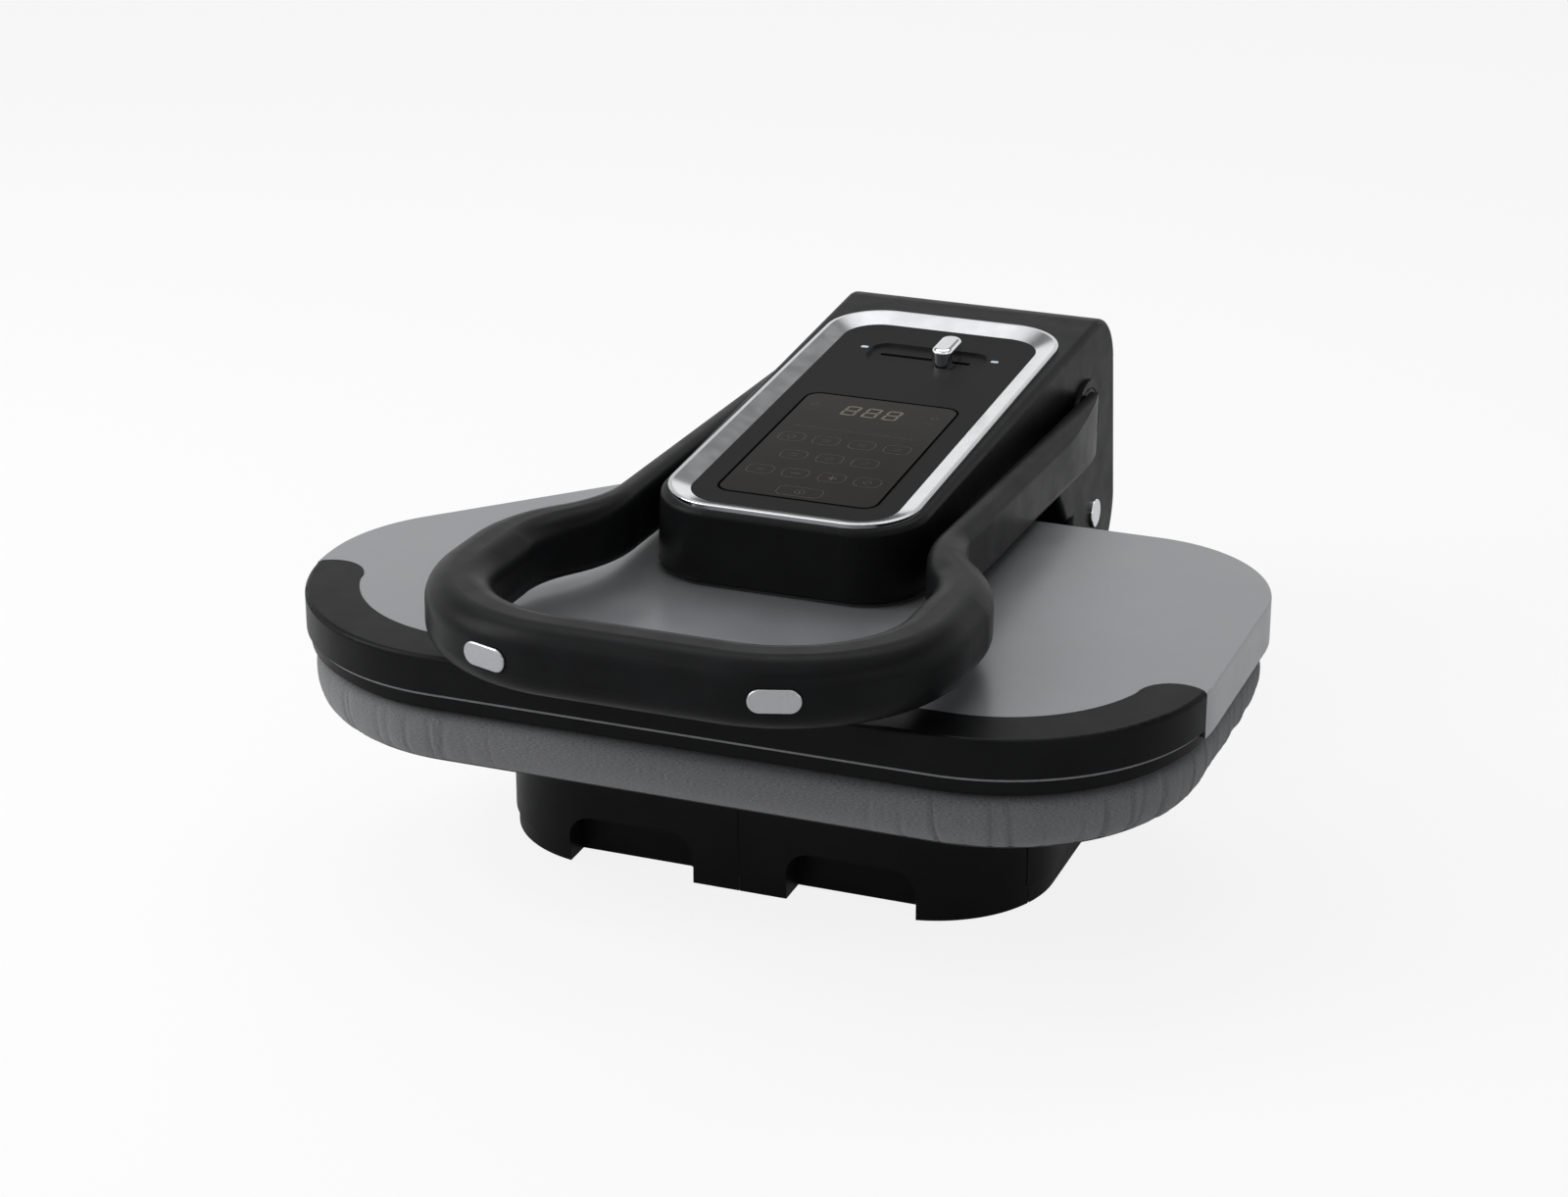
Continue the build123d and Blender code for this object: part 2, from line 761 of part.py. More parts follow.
def hinge_caps():
    """Domed chrome caps over the ends of the hinge pins."""
    face_x = side_x(hinge_z)
    low_x = face_x - housing_wall
    cap = rod(cap_radius, low_x, face_x + cap_proud, hinge_y, hinge_z)
    cap = fillet(cap.edges().group_by(Axis.X)[-1], cap_proud * 0.9)
    return both_sides(cap)


def lift_springs():
    """Torsion springs on the inner ends of the hinge pins, which help to raise the head."""
    coil_radius = hinge_pin_radius + knob_gap + spring_wire / 2
    pitch = spring_wire * 1.4
    height = pitch * spring_turns
    start_x = cheek_x - spring_wire / 2 - height - knob_gap
    path = Helix(pitch, height, coil_radius)
    profile = Plane(origin=path @ 0, z_dir=path % 0) * Circle(spring_wire / 2)
    coil = sweep(profile, path=path, is_frenet=True)
    return both_sides(Pos(start_x, hinge_y, hinge_z) * Rot(0, 90, 0) * coil)


# Arm housing
def deck_z(y):
    """Height of the deck's plane, in which the bezel's upper edge lies."""
    return deck_front_z + (y - deck_front_y) * tan(deck_rise)


def deck_plane(depth=0.0):
    """Plane of the sloping deck at a depth below the bezel's edge; its Y runs to the rear."""
    normal = (0, -sin(deck_rise), cos(deck_rise))
    origin = (0, deck_front_y + depth * sin(deck_rise), deck_front_z - depth * cos(deck_rise))
    return Plane(origin=origin, x_dir=(1, 0, 0), z_dir=normal)


def on_deck(shape, x, v, depth=0.0):
    """Place a shape on the deck: x across, v along from the bezel's front edge."""
    return deck_plane(depth) * Pos(x, v, 0) * shape


def arm_profile(inset=0.0):
    """Side view of the housing: console, tower and the tower's foot round the hinge."""
    top = rim_drop if inset == 0 else rim_depth
    front_top = console_front_y + console_rake
    rear = tower_rear_y - inset
    under = console_bottom_z - (overrun if inset else 0)
    outline = [
        (console_front_y + inset, under),
        (front_top + inset, deck_z(front_top) - top),
        (rear, deck_z(rear) - top),
        (rear, hinge_z),
        (hinge_y, hinge_z),
        (tower_neck_y + inset, tower_neck_z),
        (tower_front_y + inset, under_arm_z + inset),
        (under_arm_start_y + inset, under_arm_z + inset),
        (under_arm_start_y + inset, console_bottom_z),
    ]
    if inset:
        outline += [(under_arm_start_y - inset, console_bottom_z), (under_arm_start_y - inset, under)]
    face = make_face(Polyline(*[(0, y, z) for y, z in outline], close=True))
    corner = face.vertices().sort_by_distance((0, rear, deck_z(rear) - top))[0]
    return fillet(corner, tower_top_radius - inset)


def arm_solid(inset=0.0):
    """Drafted solid of the housing's outer form, or of its room inside."""
    width = side_half_width * 2
    body = Pos(-width / 2, 0, 0) * extrude(arm_profile(inset), amount=width, dir=(1, 0, 0))
    body = body + rod(tower_foot_radius - inset, -width / 2, width / 2, hinge_y, hinge_z)
    low, high = 0.0, deck_z(tower_rear_y) + overrun
    faces = []
    for z in (low, high):
        half = side_x(z) - inset
        front_half = half - console_taper
        front, rear = console_front_y + inset, tower_rear_y - inset
        lean = (z - console_bottom_z) * console_rake / (deck_front_z - console_bottom_z)
        front = front + lean
        outline = Polyline((-front_half, front), (front_half, front), (half, rear), (-half, rear), close=True)
        face = make_face(outline)
        face = fillet(face.vertices().group_by(Axis.Y)[0], console_corner_radius - inset)
        faces.append(Pos(0, 0, z) * face)
    return body & loft(faces, ruled=True)


def rounded(width, length, radius):
    """A rounded rectangle with its front edge at zero, for the deck."""
    return Pos(0, length / 2) * RectangleRounded(width, length, radius)


def rim_edges(body):
    """The chain of edges round the deck and down the tower's back corners."""
    deck = body.faces().filter_by(lambda face: face.normal_at().Z > cos(deck_rise * 2)).sort_by(SortBy.AREA)[-1]
    back = body.faces().sort_by(Axis.Y)[-1]
    crown = [face for face in body.faces() if touches(face, deck) and touches(face, back)]
    level = [edge for edge in deck.edges() + back.edges() if abs(edge.tangent_at(0).X) > cos(deck_rise * 2)]
    front = [edge for edge in level if edge.center().Y < under_arm_start_y]
    chain = [edge for face in [deck, back, *crown] for edge in face.edges()]
    return [edge for edge in chain if abs(edge.tangent_at(0).X) < cos(deck_rise * 2)] + front


def touches(face, other):
    """Whether two faces share an edge."""
    return any(edge.is_same(twin) for edge in face.edges() for twin in other.edges())


def arm_housing():
    """Console and tower in one black moulding, open below and at the deck."""
    outer = arm_solid()
    outer = fillet(rim_edges(outer), top_edge_radius)
    inner = arm_solid(housing_wall)
    foot = rod(tower_foot_radius + overrun, -drum_half_width - drum_wall * 2, drum_half_width + drum_wall * 2,
               hinge_y, hinge_z)
    under = side_plate([(tower_neck_y - overrun, 0), (tower_rear_y + overrun, 0),
                        (tower_rear_y + overrun, hinge_z), (tower_neck_y - overrun, hinge_z)],
                       -drum_half_width - drum_wall * 2, drum_half_width + drum_wall * 2)
    clear = rod(drum_radius + knob_gap, -drum_half_width - knob_gap, drum_half_width + knob_gap, hinge_y, hinge_z)
    seat_depth = bezel_dish + bezel_floor
    seat = extrude(rounded(bezel_width + panel_fit * 2, bezel_length, bezel_radius), amount=overrun)
    opening_width = bezel_width - bezel_rim * 4
    opening = extrude(rounded(opening_width, bezel_length - bezel_rim * 4, bezel_radius - bezel_rim * 2),
                      amount=overrun * 2)
    body = outer - inner - (foot & under) - clear
    body = body - on_deck(seat, 0, 0, seat_depth)
    body = body - on_deck(opening, 0, bezel_rim * 2, overrun)
    hubs = rod(hub_radius + hub_gap, side_x(hub_z) - hub_thickness, side_half_width + overrun, hub_y, hub_z)
    pins = rod(cap_radius, 0, side_half_width + overrun, hinge_y, hinge_z)
    return body - both_sides(hubs) - both_sides(pins)


def console_seal():
    """Dark gasket between the console and the head's top."""
    band = block(-side_half_width, side_half_width, console_front_y, head_half_depth - seal_inset,
                 head_top_z, console_bottom_z)
    return (arm_solid(seal_inset) - arm_solid(seal_inset + housing_wall * 2)) & band


# Bezel and control panel
def deck_ring(width, length, start, radius, depth, amount):
    """A rounded rectangle on the deck, extruded upwards from a depth."""
    return on_deck(extrude(rounded(width, length, radius), amount=amount), 0, start, depth)


def chrome_bezel():
    """Dished chrome frame: a raised outer rim that slopes down to the panel."""
    seat = bezel_dish + bezel_floor
    body = deck_ring(bezel_width, bezel_length, 0, bezel_radius, seat, seat)
    body = fillet(body.faces().filter_by(lambda face: face.normal_at().Z > cos(deck_rise * 2)).edges(), crease_radius / 2)
    upper = rounded(bezel_width - bezel_rim * 2, bezel_length - bezel_rim * 2, bezel_radius - bezel_rim)
    lower = rounded(bezel_width - bezel_band * 2, opening_length, bezel_inner_radius)
    dish = loft([Pos(0, bezel_rim, 0) * upper, Pos(0, bezel_band, -bezel_dish) * lower], ruled=True)
    opening = deck_ring(bezel_width - bezel_band * 2, opening_length, bezel_band, bezel_inner_radius,
                        seat + overrun, overrun * 2)
    return body - on_deck(dish, 0, 0) - opening


def control_panel():
    """Matte panel under the bezel, with the display's recess, the slider's dish and its slot."""
    seat = bezel_dish + bezel_floor
    band = bezel_band - panel_lip
    plate = deck_ring(bezel_width - band * 2, opening_length + panel_lip * 2, band,
                      bezel_inner_radius + panel_lip, seat + panel_thickness, panel_thickness)
    inner = bezel_band + panel_fit
    raised = deck_ring(bezel_width - inner * 2, opening_length - panel_fit * 2, inner,
                       bezel_inner_radius - panel_fit, seat, seat - bezel_dish)
    panel = plate + raised
    glass = deck_ring(glass_width + panel_fit * 2, glass_length + panel_fit * 2, glass_start - panel_fit,
                      glass_radius + panel_fit, bezel_dish + glass_thickness, overrun)
    dish_low = rounded(slider_dish_width - slider_dish_depth * 2, slider_dish_length - slider_dish_depth * 2,
                       slider_dish_length / 3 - slider_dish_depth)
    dish_high = rounded(slider_dish_width, slider_dish_length, slider_dish_length / 3)
    start = slider_dish_at - slider_dish_length / 2
    dish = loft([Pos(0, slider_dish_depth, -slider_dish_depth) * dish_low, dish_high], ruled=True)
    slot = Pos(knob_at_x - knob_travel / 2, 0) * SlotOverall(slot_length, slot_width)
    slot = on_deck(extrude(slot, amount=overrun), 0, slider_dish_at, overrun / 2 + bezel_dish)
    panel = panel - glass - on_deck(dish, 0, start, bezel_dish) - slot
    for place in lens_places():
        window = RectangleRounded(lens_width + panel_fit, lens_length + panel_fit, lens_length / 3)
        panel = panel - on_deck(extrude(window, amount=overrun), *place, seat)
    return panel - pegs(panel_fit)


def lens_places():
    """Centres of the two indicator windows on the deck, as x and distance along it."""
    at = slider_dish_at + slider_dish_length / 6
    return [(-lens_spacing / 2, at), (lens_spacing / 2, at)]


def indicator_lenses():
    """Two small clear windows, let into the panel."""
    lens = extrude(RectangleRounded(lens_width, lens_length, lens_length / 3 - panel_fit), amount=bezel_floor)
    return [on_deck(lens, *place, bezel_dish + bezel_floor) for place in lens_places()]


def display_glass():
    """Smoked glass over the display, flush in the panel."""
    glass = deck_ring(glass_width, glass_length, glass_start, glass_radius, bezel_dish + glass_thickness,
                      glass_thickness)
    return glass


def pegs(grow=0.0):
    """Four pegs that carry the circuit board under the panel."""
    under = bezel_dish + bezel_floor + panel_thickness
    x, half = circuit_width / 2 - board_standoff, circuit_length / 2 - board_standoff
    middle = glass_start + glass_length / 2
    peg = Cylinder(screw_radius + grow, board_standoff + circuit_thickness * 2 + panel_thickness / 2)
    depth = under + (board_standoff + circuit_thickness * 2 - panel_thickness / 2) / 2
    return [on_deck(peg, side * x, middle + end * half, depth) for side in (-1, 1) for end in (-1, 1)]


def panel_pegs():
    """The pegs with a collar that the circuit board rests on."""
    under = bezel_dish + bezel_floor + panel_thickness
    x, half = circuit_width / 2 - board_standoff, circuit_length / 2 - board_standoff
    middle = glass_start + glass_length / 2
    collar = Cylinder(screw_head_radius, board_standoff)
    places = [(side * x, middle + end * half) for side in (-1, 1) for end in (-1, 1)]
    collars = [on_deck(collar, *place, under + board_standoff / 2) for place in places]
    return [peg + collar for peg, collar in zip(pegs(), collars)]


def control_board():
    """Circuit board under the display, held on the pegs."""
    under = bezel_dish + bezel_floor + panel_thickness + board_standoff
    start = glass_start + (glass_length - circuit_length) / 2
    board = deck_ring(circuit_width, circuit_length, start, crease_radius, under + circuit_thickness,
                      circuit_thickness)
    return board - pegs(running_gap)


def slider_knob():
    """Chrome knob with its stem through the slot and its carriage below the panel."""
    base_depth = bezel_dish + slider_dish_depth - knob_gap
    body = extrude(RectangleRounded(knob_width, knob_length, knob_width / 2 - knob_gap), amount=knob_height)
    body = fillet(body.edges().group_by(Axis.Z)[-1], knob_width / 5)
    knob = on_deck(body, knob_at_x, slider_dish_at, base_depth)
    stem_width = slot_width - knob_gap * 2
    under = bezel_dish + bezel_floor + panel_thickness + knob_gap
    stem = extrude(RectangleRounded(slot_width * 2, stem_width, stem_width / 3), amount=under - base_depth)
    carriage = extrude(RectangleRounded(knob_width, knob_length / 2, slot_width / 2), amount=panel_thickness)
    stem = on_deck(stem, knob_at_x, slider_dish_at, under)
    carriage = on_deck(carriage, knob_at_x, slider_dish_at, under + panel_thickness)
    return knob + stem + carriage


# Steel beam from the main hinge to the head
def arm_beam():
    """Two pressed side plates tied by a web, bolted down to the head's top."""
    low = head_top_z
    high = console_bottom_z + rim_depth * 2
    start = console_front_y + console_corner_radius
    eye = cheek_radius * 0.9
    outline = [
        (start, low),
        (start, high),
        (hub_y + hub_radius, high),
        (hinge_y + eye, hinge_z),
        (hinge_y - eye, hinge_z),
        (tower_front_y + cheek_radius, under_arm_z + housing_wall),
        (under_arm_start_y + cheek_radius, under_arm_z + housing_wall),
        (under_arm_start_y + housing_wall, console_bottom_z + panel_fit),
        (under_arm_start_y - housing_wall, console_bottom_z + panel_fit),
        (head_half_depth, low),
    ]
    plate = side_plate(outline, beam_side_x, beam_side_x + beam_thickness)
    plate = plate + rod(eye, beam_side_x, beam_side_x + beam_thickness, hinge_y, hinge_z)
    plate = plate - rod(hinge_pin_radius, 0, hub_y, hinge_y, hinge_z)
    plate = plate - rod(shaft_radius + bush_wall, 0, hub_y, hub_y, hub_z)
    end = start + console_corner_radius * 2
    web = block(-beam_side_x, beam_side_x, start, end, low, low + beam_thickness)
    rear = block(-beam_side_x, beam_side_x, head_half_depth - console_corner_radius, head_half_depth,
                 low, low + beam_thickness)
    return web + rear + both_sides(plate)


def handle_bushes():
    """Bushes in the beam's side plates that the handle shaft turns in."""
    bush = rod(shaft_radius + bush_wall, beam_side_x, beam_side_x + beam_thickness, hub_y, hub_z)
    return both_sides(bush - rod(shaft_radius + running_gap, 0, side_half_width, hub_y, hub_z))


# Handle
def handle_plane(drop=0.0):
    """Plane of the handle's centre line: X across, Y to the rear, tilted down to the rear."""
    origin = (0, handle_front_y - drop * sin(handle_drop), handle_front_z - drop * cos(handle_drop))
    return Plane(origin=origin, x_dir=(1, 0, 0), z_dir=(0, sin(handle_drop), cos(handle_drop)))


def along(y):
    """Distance along the handle's plane from its front for a Y place."""
    return (y - handle_front_y) / cos(handle_drop)


def handle_half(inset):
    """Right half of the handle as one solid in its own plane, smaller by an inset."""
    loop_width = loop_thickness - inset * 2
    arm_width = arm_thickness - inset * 2
    corner_x = loop_half_width - loop_corner_radius
    corner_y = loop_corner_radius
    rear, waist, end = along(loop_rear_y), along(waist_y), along(arm_end_y) - inset
    loop = RectangleRounded(loop_width, loop_height - inset * 2, loop_edge_radius - inset)
    arm = RectangleRounded(arm_width, arm_height - inset * 2, arm_edge_radius - inset)
    path = Line((0, 0), (corner_x, 0)) + CenterArc((corner_x, corner_y), loop_corner_radius, -90, 90)
    path = path + Line((loop_half_width, corner_y), (loop_half_width, rear))
    front = sweep(Plane(origin=(0, 0, 0), x_dir=(0, 1, 0), z_dir=(1, 0, 0)) * loop, path=path)
    middle = ((loop_half_width + arm_x) / 2, (rear + waist) / 2)
    bend = TangentArc((loop_half_width, rear), middle, tangent=(0, 1))
    bend = bend + TangentArc(middle, (arm_x, waist), tangent=bend % 1)
    start_face = Plane(origin=(loop_half_width, rear, 0), x_dir=(1, 0, 0), z_dir=(0, 1, 0)) * loop
    end_face = Plane(origin=(arm_x, waist, 0), x_dir=(1, 0, 0), z_dir=(0, 1, 0)) * arm
    waist_part = sweep([start_face, end_face], path=bend, multisection=True)
    straight = extrude(end_face, amount=end - waist) - arm_nose(end)
    return front + waist_part + straight


def arm_nose(end):
    """Material past an arm's bullet-shaped end, as a cutter in the handle's plane."""
    wide = side_half_width * 2
    round_y = end - arm_height / 2
    side_view = block(0, wide, round_y, end + overrun, -arm_height, arm_height)
    side_view = side_view - rod(arm_height / 2, 0, wide, round_y, 0)
    inner_x = arm_x - arm_thickness / 2
    curve_y = end - arm_end_length
    nose = Pos(inner_x, curve_y, 0) * extrude(Ellipse(arm_thickness, arm_end_length), amount=arm_height, both=True)
    plan_view = block(inner_x, wide, curve_y, end + overrun, -arm_height, arm_height) - nose
    return side_view + plan_view


def handle_body(inset=0.0):
    """The whole handle, both arms rounded off at the hubs."""
    half = handle_half(inset)
    whole = half + mirror(half, about=Plane.YZ)
    return handle_plane() * whole


def handle_z(y):
    """Height of the handle's centre line at a Y place."""
    return handle_front_z - (y - handle_front_y) * tan(handle_drop)


def above_parting(gap=0.0):
    """Everything above the parting plane of the two handle halves."""
    room = Box(head_half_width * 2, head_half_width * 4, head_half_width)
    lift = head_half_width / 2 - parting_drop + gap
    return handle_plane() * Pos(0, head_half_width, lift) * room


def handle_part(upper):
    """One moulded half of the handle, hollow, with the buttons' pockets cut in the front."""
    solid = handle_body()
    room = handle_body(handle_wall)
    behind = block(-side_half_width * 2, side_half_width * 2, arm_end_y - arm_end_length, arm_end_y + overrun,
                   0, deck_front_z)
    shell = solid - (room - behind)
    shell = shell - [button_room(side) for side in (-1, 1)]
    return shell & above_parting() if upper else shell - above_parting()


def button_frame(side):
    """Plane of a button's face: its Z points outwards, level and turned to the side."""
    turn = radians(button_turn) * side
    centre_x = loop_half_width - loop_corner_radius
    reach = loop_corner_radius + loop_thickness / 2
    x = side * (centre_x + reach * sin(radians(button_turn)))
    y = handle_front_y + loop_corner_radius - reach * cos(radians(button_turn))
    return Plane(origin=(x, y, handle_front_z), x_dir=(cos(turn), sin(turn), 0), z_dir=(sin(turn), -cos(turn), 0))


def button_room(side):
    """Pocket of a button, as a cutter."""
    face = SlotOverall(button_length + button_gap * 2, button_height + button_gap * 2)
    return button_frame(side) * Pos(0, 0, -button_depth - button_travel) * extrude(face, amount=button_depth * 3)


def button(side):
    """Chrome push button, slightly domed, standing just proud of the grip."""
    face = SlotOverall(button_length, button_height)
    body = extrude(face, amount=button_depth)
    body = fillet(body.edges().group_by(Axis.Z)[-1], button_proud)
    return button_frame(side) * Pos(0, 0, button_proud - button_depth) * body


def button_switches():
    """Switch behind each button, on the wall of the grip's room."""
    switches = []
    for side in (-1, 1):
        body = Box(switch_length, switch_height, switch_depth)
        back = button_proud - button_depth - button_travel - knob_gap - switch_depth / 2
        switches.append(button_frame(side) * Pos(0, 0, back) * body)
    return switches


def switch_frames():
    """Brackets that tie the switches to the lower half's floor."""
    frames = []
    for side in (-1, 1):
        back = button_proud - button_depth - button_travel - knob_gap - switch_depth / 2
        floor = loop_height / 2 - handle_wall
        low = Pos(0, -(floor + switch_height / 2) / 2, back) * Box(switch_length, floor - switch_height / 2, switch_depth)
        frames.append(button_frame(side) * low)
    return frames


def hub_discs():
    """Round hub discs in the tower's sides, each with its groove and a lug for the arm's end."""
    outer = side_half_width + hub_neck_gap - hub_proud
    inner = outer - hub_thickness
    disc = rod(hub_radius, inner, outer, hub_y, hub_z)
    groove = rod(hub_groove_radius, outer - hub_groove_depth, outer + overrun, hub_y, hub_z)
    groove = groove - rod(hub_groove_radius - hub_groove_width, 0, side_half_width * 2, hub_y, hub_z)
    lug_y = arm_end_y - arm_height / 2
    lug = rod(arm_height / 2 - handle_wall, outer, arm_x - arm_thickness / 2, lug_y, handle_z(lug_y))
    return both_sides(disc - groove - rod(shaft_radius, 0, inner + hub_thickness / 2, hub_y, hub_z) + lug)


def handle_shaft():
    """Steel shaft across the tower with the two cranks welded to it."""
    end = side_half_width + hub_neck_gap - hub_proud - hub_thickness / 2
    shaft = rod(shaft_radius, -end, end, hub_y, hub_z)
    pin_y, pin_z = hub_y + crank_y, hub_z + crank_z
    start = link_x + link_thickness + panel_fit
    end = start + crank_thickness
    crank = rod(link_eye_radius, start, end, pin_y, pin_z)
    length = hypot(crank_y, crank_z)
    web = Pos((start + end) / 2, (hub_y + pin_y) / 2, (hub_z + pin_z) / 2)
    turn = degrees(atan2(crank_y, -crank_z))
    web = web * Rot(turn, 0, 0) * Box(crank_thickness, link_eye_radius * 2, length)
    pin = rod(link_pin_radius, link_x - link_thickness / 2, start, pin_y, pin_z)
    return shaft + both_sides(crank + web + pin)


def pressure_links():
    """Two flat links from the cranks' pins down to the bracket's anchor pins."""
    top = (hub_y + crank_y, hub_z + crank_z)
    foot = (hinge_y + anchor_y, hinge_z + anchor_z)
    start, end = link_x, link_x + link_thickness
    length = hypot(foot[0] - top[0], foot[1] - top[1])
    turn = degrees(atan2(foot[0] - top[0], top[1] - foot[1]))
    bar = Pos((start + end) / 2, (top[0] + foot[0]) / 2, (top[1] + foot[1]) / 2)
    bar = bar * Rot(turn, 0, 0) * Box(link_thickness, link_eye_radius * 1.5, length)
    link = bar + rod(link_eye_radius, start, end, *top) + rod(link_eye_radius, start, end, *foot)
    link = link - rod(link_pin_radius + running_gap, 0, hub_y, *top)
    return both_sides(link - rod(link_pin_radius + link_slack, 0, hub_y, *foot))


def base_screws():
    """Screws that hold the hinge bracket's foot to the floor plate."""
    screws = []
    reach = cheek_radius * 1.6
    z = floor_plate_z + cheek_thickness
    for x in (-cheek_x / 2, cheek_x / 2):
        for y in (hinge_y - reach, hinge_y + reach):
            screws.append(post(screw_head_radius, x, y, z, z + screw_head_height))
    return screws


def beam_screws():
    """Screws through the beam's webs into the head's top."""
    screws = []
    z = head_top_z + beam_thickness
    start = console_front_y + console_corner_radius * 2
    for x in (-cheek_x / 2, cheek_x / 2):
        for y in (start, head_half_depth - console_corner_radius / 2):
            screws.append(post(screw_head_radius, x, y, z, z + screw_head_height))
    return screws


def main():
    """Build and write every node."""
    save("head_shell", head_shell())
    save("front_bumper", front_bumper())
    save("trim_strip", trim_strip())
    save("plate_carrier", plate_carrier())
    save("heating_plate", heating_plate())
    save("heating_element", heating_element())
    save("steam_chamber", steam_chamber())
    save("thermostat", thermostat())
    save("board_tray", board_tray())
    save("board_pad", board_pad())
    save("board_cover", board_cover())
    save("base_housing", base_housing())
    save("base_cover", base_cover())
    save("rubber_feet", rubber_feet())
    save("power_inlet", power_inlet())
    save("water_tank", water_tank())
    save("tank_cap", tank_cap())
    save("tank_valve", tank_valve())
    save("water_pump", water_pump())
    save("water_tube", water_tube())
    save("hinge_bracket", hinge_bracket())
    save("anchor_pins", anchor_pins())
    save("hinge_bushes", hinge_bushes())
    save("hinge_drum", hinge_drum())
    save("lift_springs", lift_springs())
    save("base_screws", base_screws())
    save("hinge_pins", hinge_pins())
    save("hinge_caps", hinge_caps())
    save("arm_housing", arm_housing())
    save("console_seal", console_seal())
    save("arm_beam", arm_beam())
    save("beam_screws", beam_screws())
    save("handle_bushes", handle_bushes())
    save("chrome_bezel", chrome_bezel())
    save("control_panel", control_panel() + panel_pegs())
    save("display_glass", display_glass())
    save("indicator_lenses", indicator_lenses())
    save("control_board", control_board())
    save("slider_knob", slider_knob())
    save("handle_upper", handle_part(True))
    save("handle_lower", handle_part(False) + switch_frames())
    save("hub_discs", hub_discs())
    save("handle_shaft", handle_shaft())
    save("pressure_links", pressure_links())
    save("button_left", button(-1))
    save("button_right", button(1))
    save("button_switches", button_switches())


if __name__ == "__main__":
    main()
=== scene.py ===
"""Steam ironing press: finishes, gathered board cover, display with a painted glow on its figures, and
studio round the fixed parts.
"""

import math
from collections import namedtuple

import bmesh
import bpy
from bpy.props import FloatProperty, FloatVectorProperty, IntProperty, PointerProperty
from bpy.types import Operator, Panel, PropertyGroup
from mathutils import Matrix, Vector, noise


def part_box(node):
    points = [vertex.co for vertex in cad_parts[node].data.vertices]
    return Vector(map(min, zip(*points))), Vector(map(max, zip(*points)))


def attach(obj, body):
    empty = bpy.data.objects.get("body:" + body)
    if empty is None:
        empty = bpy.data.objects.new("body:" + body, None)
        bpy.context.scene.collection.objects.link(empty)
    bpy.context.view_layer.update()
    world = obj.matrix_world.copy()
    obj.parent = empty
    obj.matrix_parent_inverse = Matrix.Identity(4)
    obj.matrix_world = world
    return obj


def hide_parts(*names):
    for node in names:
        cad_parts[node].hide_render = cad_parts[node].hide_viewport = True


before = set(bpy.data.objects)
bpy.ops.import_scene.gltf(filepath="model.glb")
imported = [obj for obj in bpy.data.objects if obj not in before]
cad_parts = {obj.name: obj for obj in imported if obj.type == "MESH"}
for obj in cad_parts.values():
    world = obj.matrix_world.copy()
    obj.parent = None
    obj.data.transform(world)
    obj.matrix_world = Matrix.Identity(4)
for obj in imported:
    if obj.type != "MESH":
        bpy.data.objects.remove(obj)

bl_info = {
    "name": "Steam ironing press",
    "version": (1, 0, 0),
    "blender": (4, 5, 0),
    "location": "3D View > Sidebar > Press",
    "description": "Dresses the steam press with its cover, display and finishes",
    "category": "Add Mesh",
}


# Settings
def colour(name, words, default):
    """A colour setting, as it is written on a shader."""
    return FloatVectorProperty(name=name, description=words, subtype="COLOR", size=3, min=0, max=1,
                               default=default)


def length(name, words, default):
    """A length setting in metres."""
    return FloatProperty(name=name, description=words, unit="LENGTH", min=0, precision=5, default=default)


def angle(name, words, degrees):
    """An angle setting, whose default is given in degrees."""
    return FloatProperty(name=name, description=words, subtype="ANGLE", default=math.radians(degrees))


class PressFinishes(PropertyGroup):
    """Colours of the press's materials."""

    shell: colour("Shell", "Satin paint of the head", (0.278, 0.283, 0.296))
    moulding: colour("Mouldings", "Black of the housings, bumper and handle", (0.0054, 0.0056, 0.0061))
    grain: length("Moulding grain", "Size of the fine texture moulded into the plastic", 0.0006)
    # The trim's pale grey is partly the strip's own colour and partly a painted highlight along the
    # bumper's lower edge
    trim: colour("Trim strip", "Satin strip under the bumper", (0.17, 0.172, 0.178))
    chrome: colour("Chrome", "Bezel, knob, push buttons and hinge caps", (0.72, 0.73, 0.75))
    panel: colour("Panel", "Matte film of the control panel", (0.0075, 0.0076, 0.0080))
    glass: colour("Display glass", "Smoked glass over the display", (0.0078, 0.0064, 0.0044))
    # The figures' pale colour is painted glow: they are drawn as lit, though nothing here gives light
    digits: colour("Digits", "Unlit figures behind the glass", (0.155, 0.134, 0.108))
    keys: colour("Keys", "Key outlines behind the glass", (0.080, 0.067, 0.053))
    fabric: colour("Fabric", "Cotton of the board's cover", (0.145, 0.146, 0.150))
    rubber: colour("Rubber", "Feet and the console's seal", (0.012, 0.012, 0.012))
    inner: colour("Inner plastic", "Pump, valve, inlet and switches", (0.02, 0.02, 0.022))
    tube: colour("Tube", "Silicone of the water tube", (0.55, 0.57, 0.58))
    circuit: colour("Circuit board", "Lacquer of the control board", (0.01, 0.09, 0.03))
    tray: colour("Tray", "Lacquer of the tray under the board", (0.020, 0.020, 0.021))
    steel: colour("Steel", "Zinc plate of the beam, linkage and springs", (0.55, 0.56, 0.57))
    casting: colour("Casting", "Cast metal of the heating plate and steam chamber", (0.66, 0.67, 0.68))
    brass: colour("Brass", "Bushes and thermostat", (0.6, 0.42, 0.16))


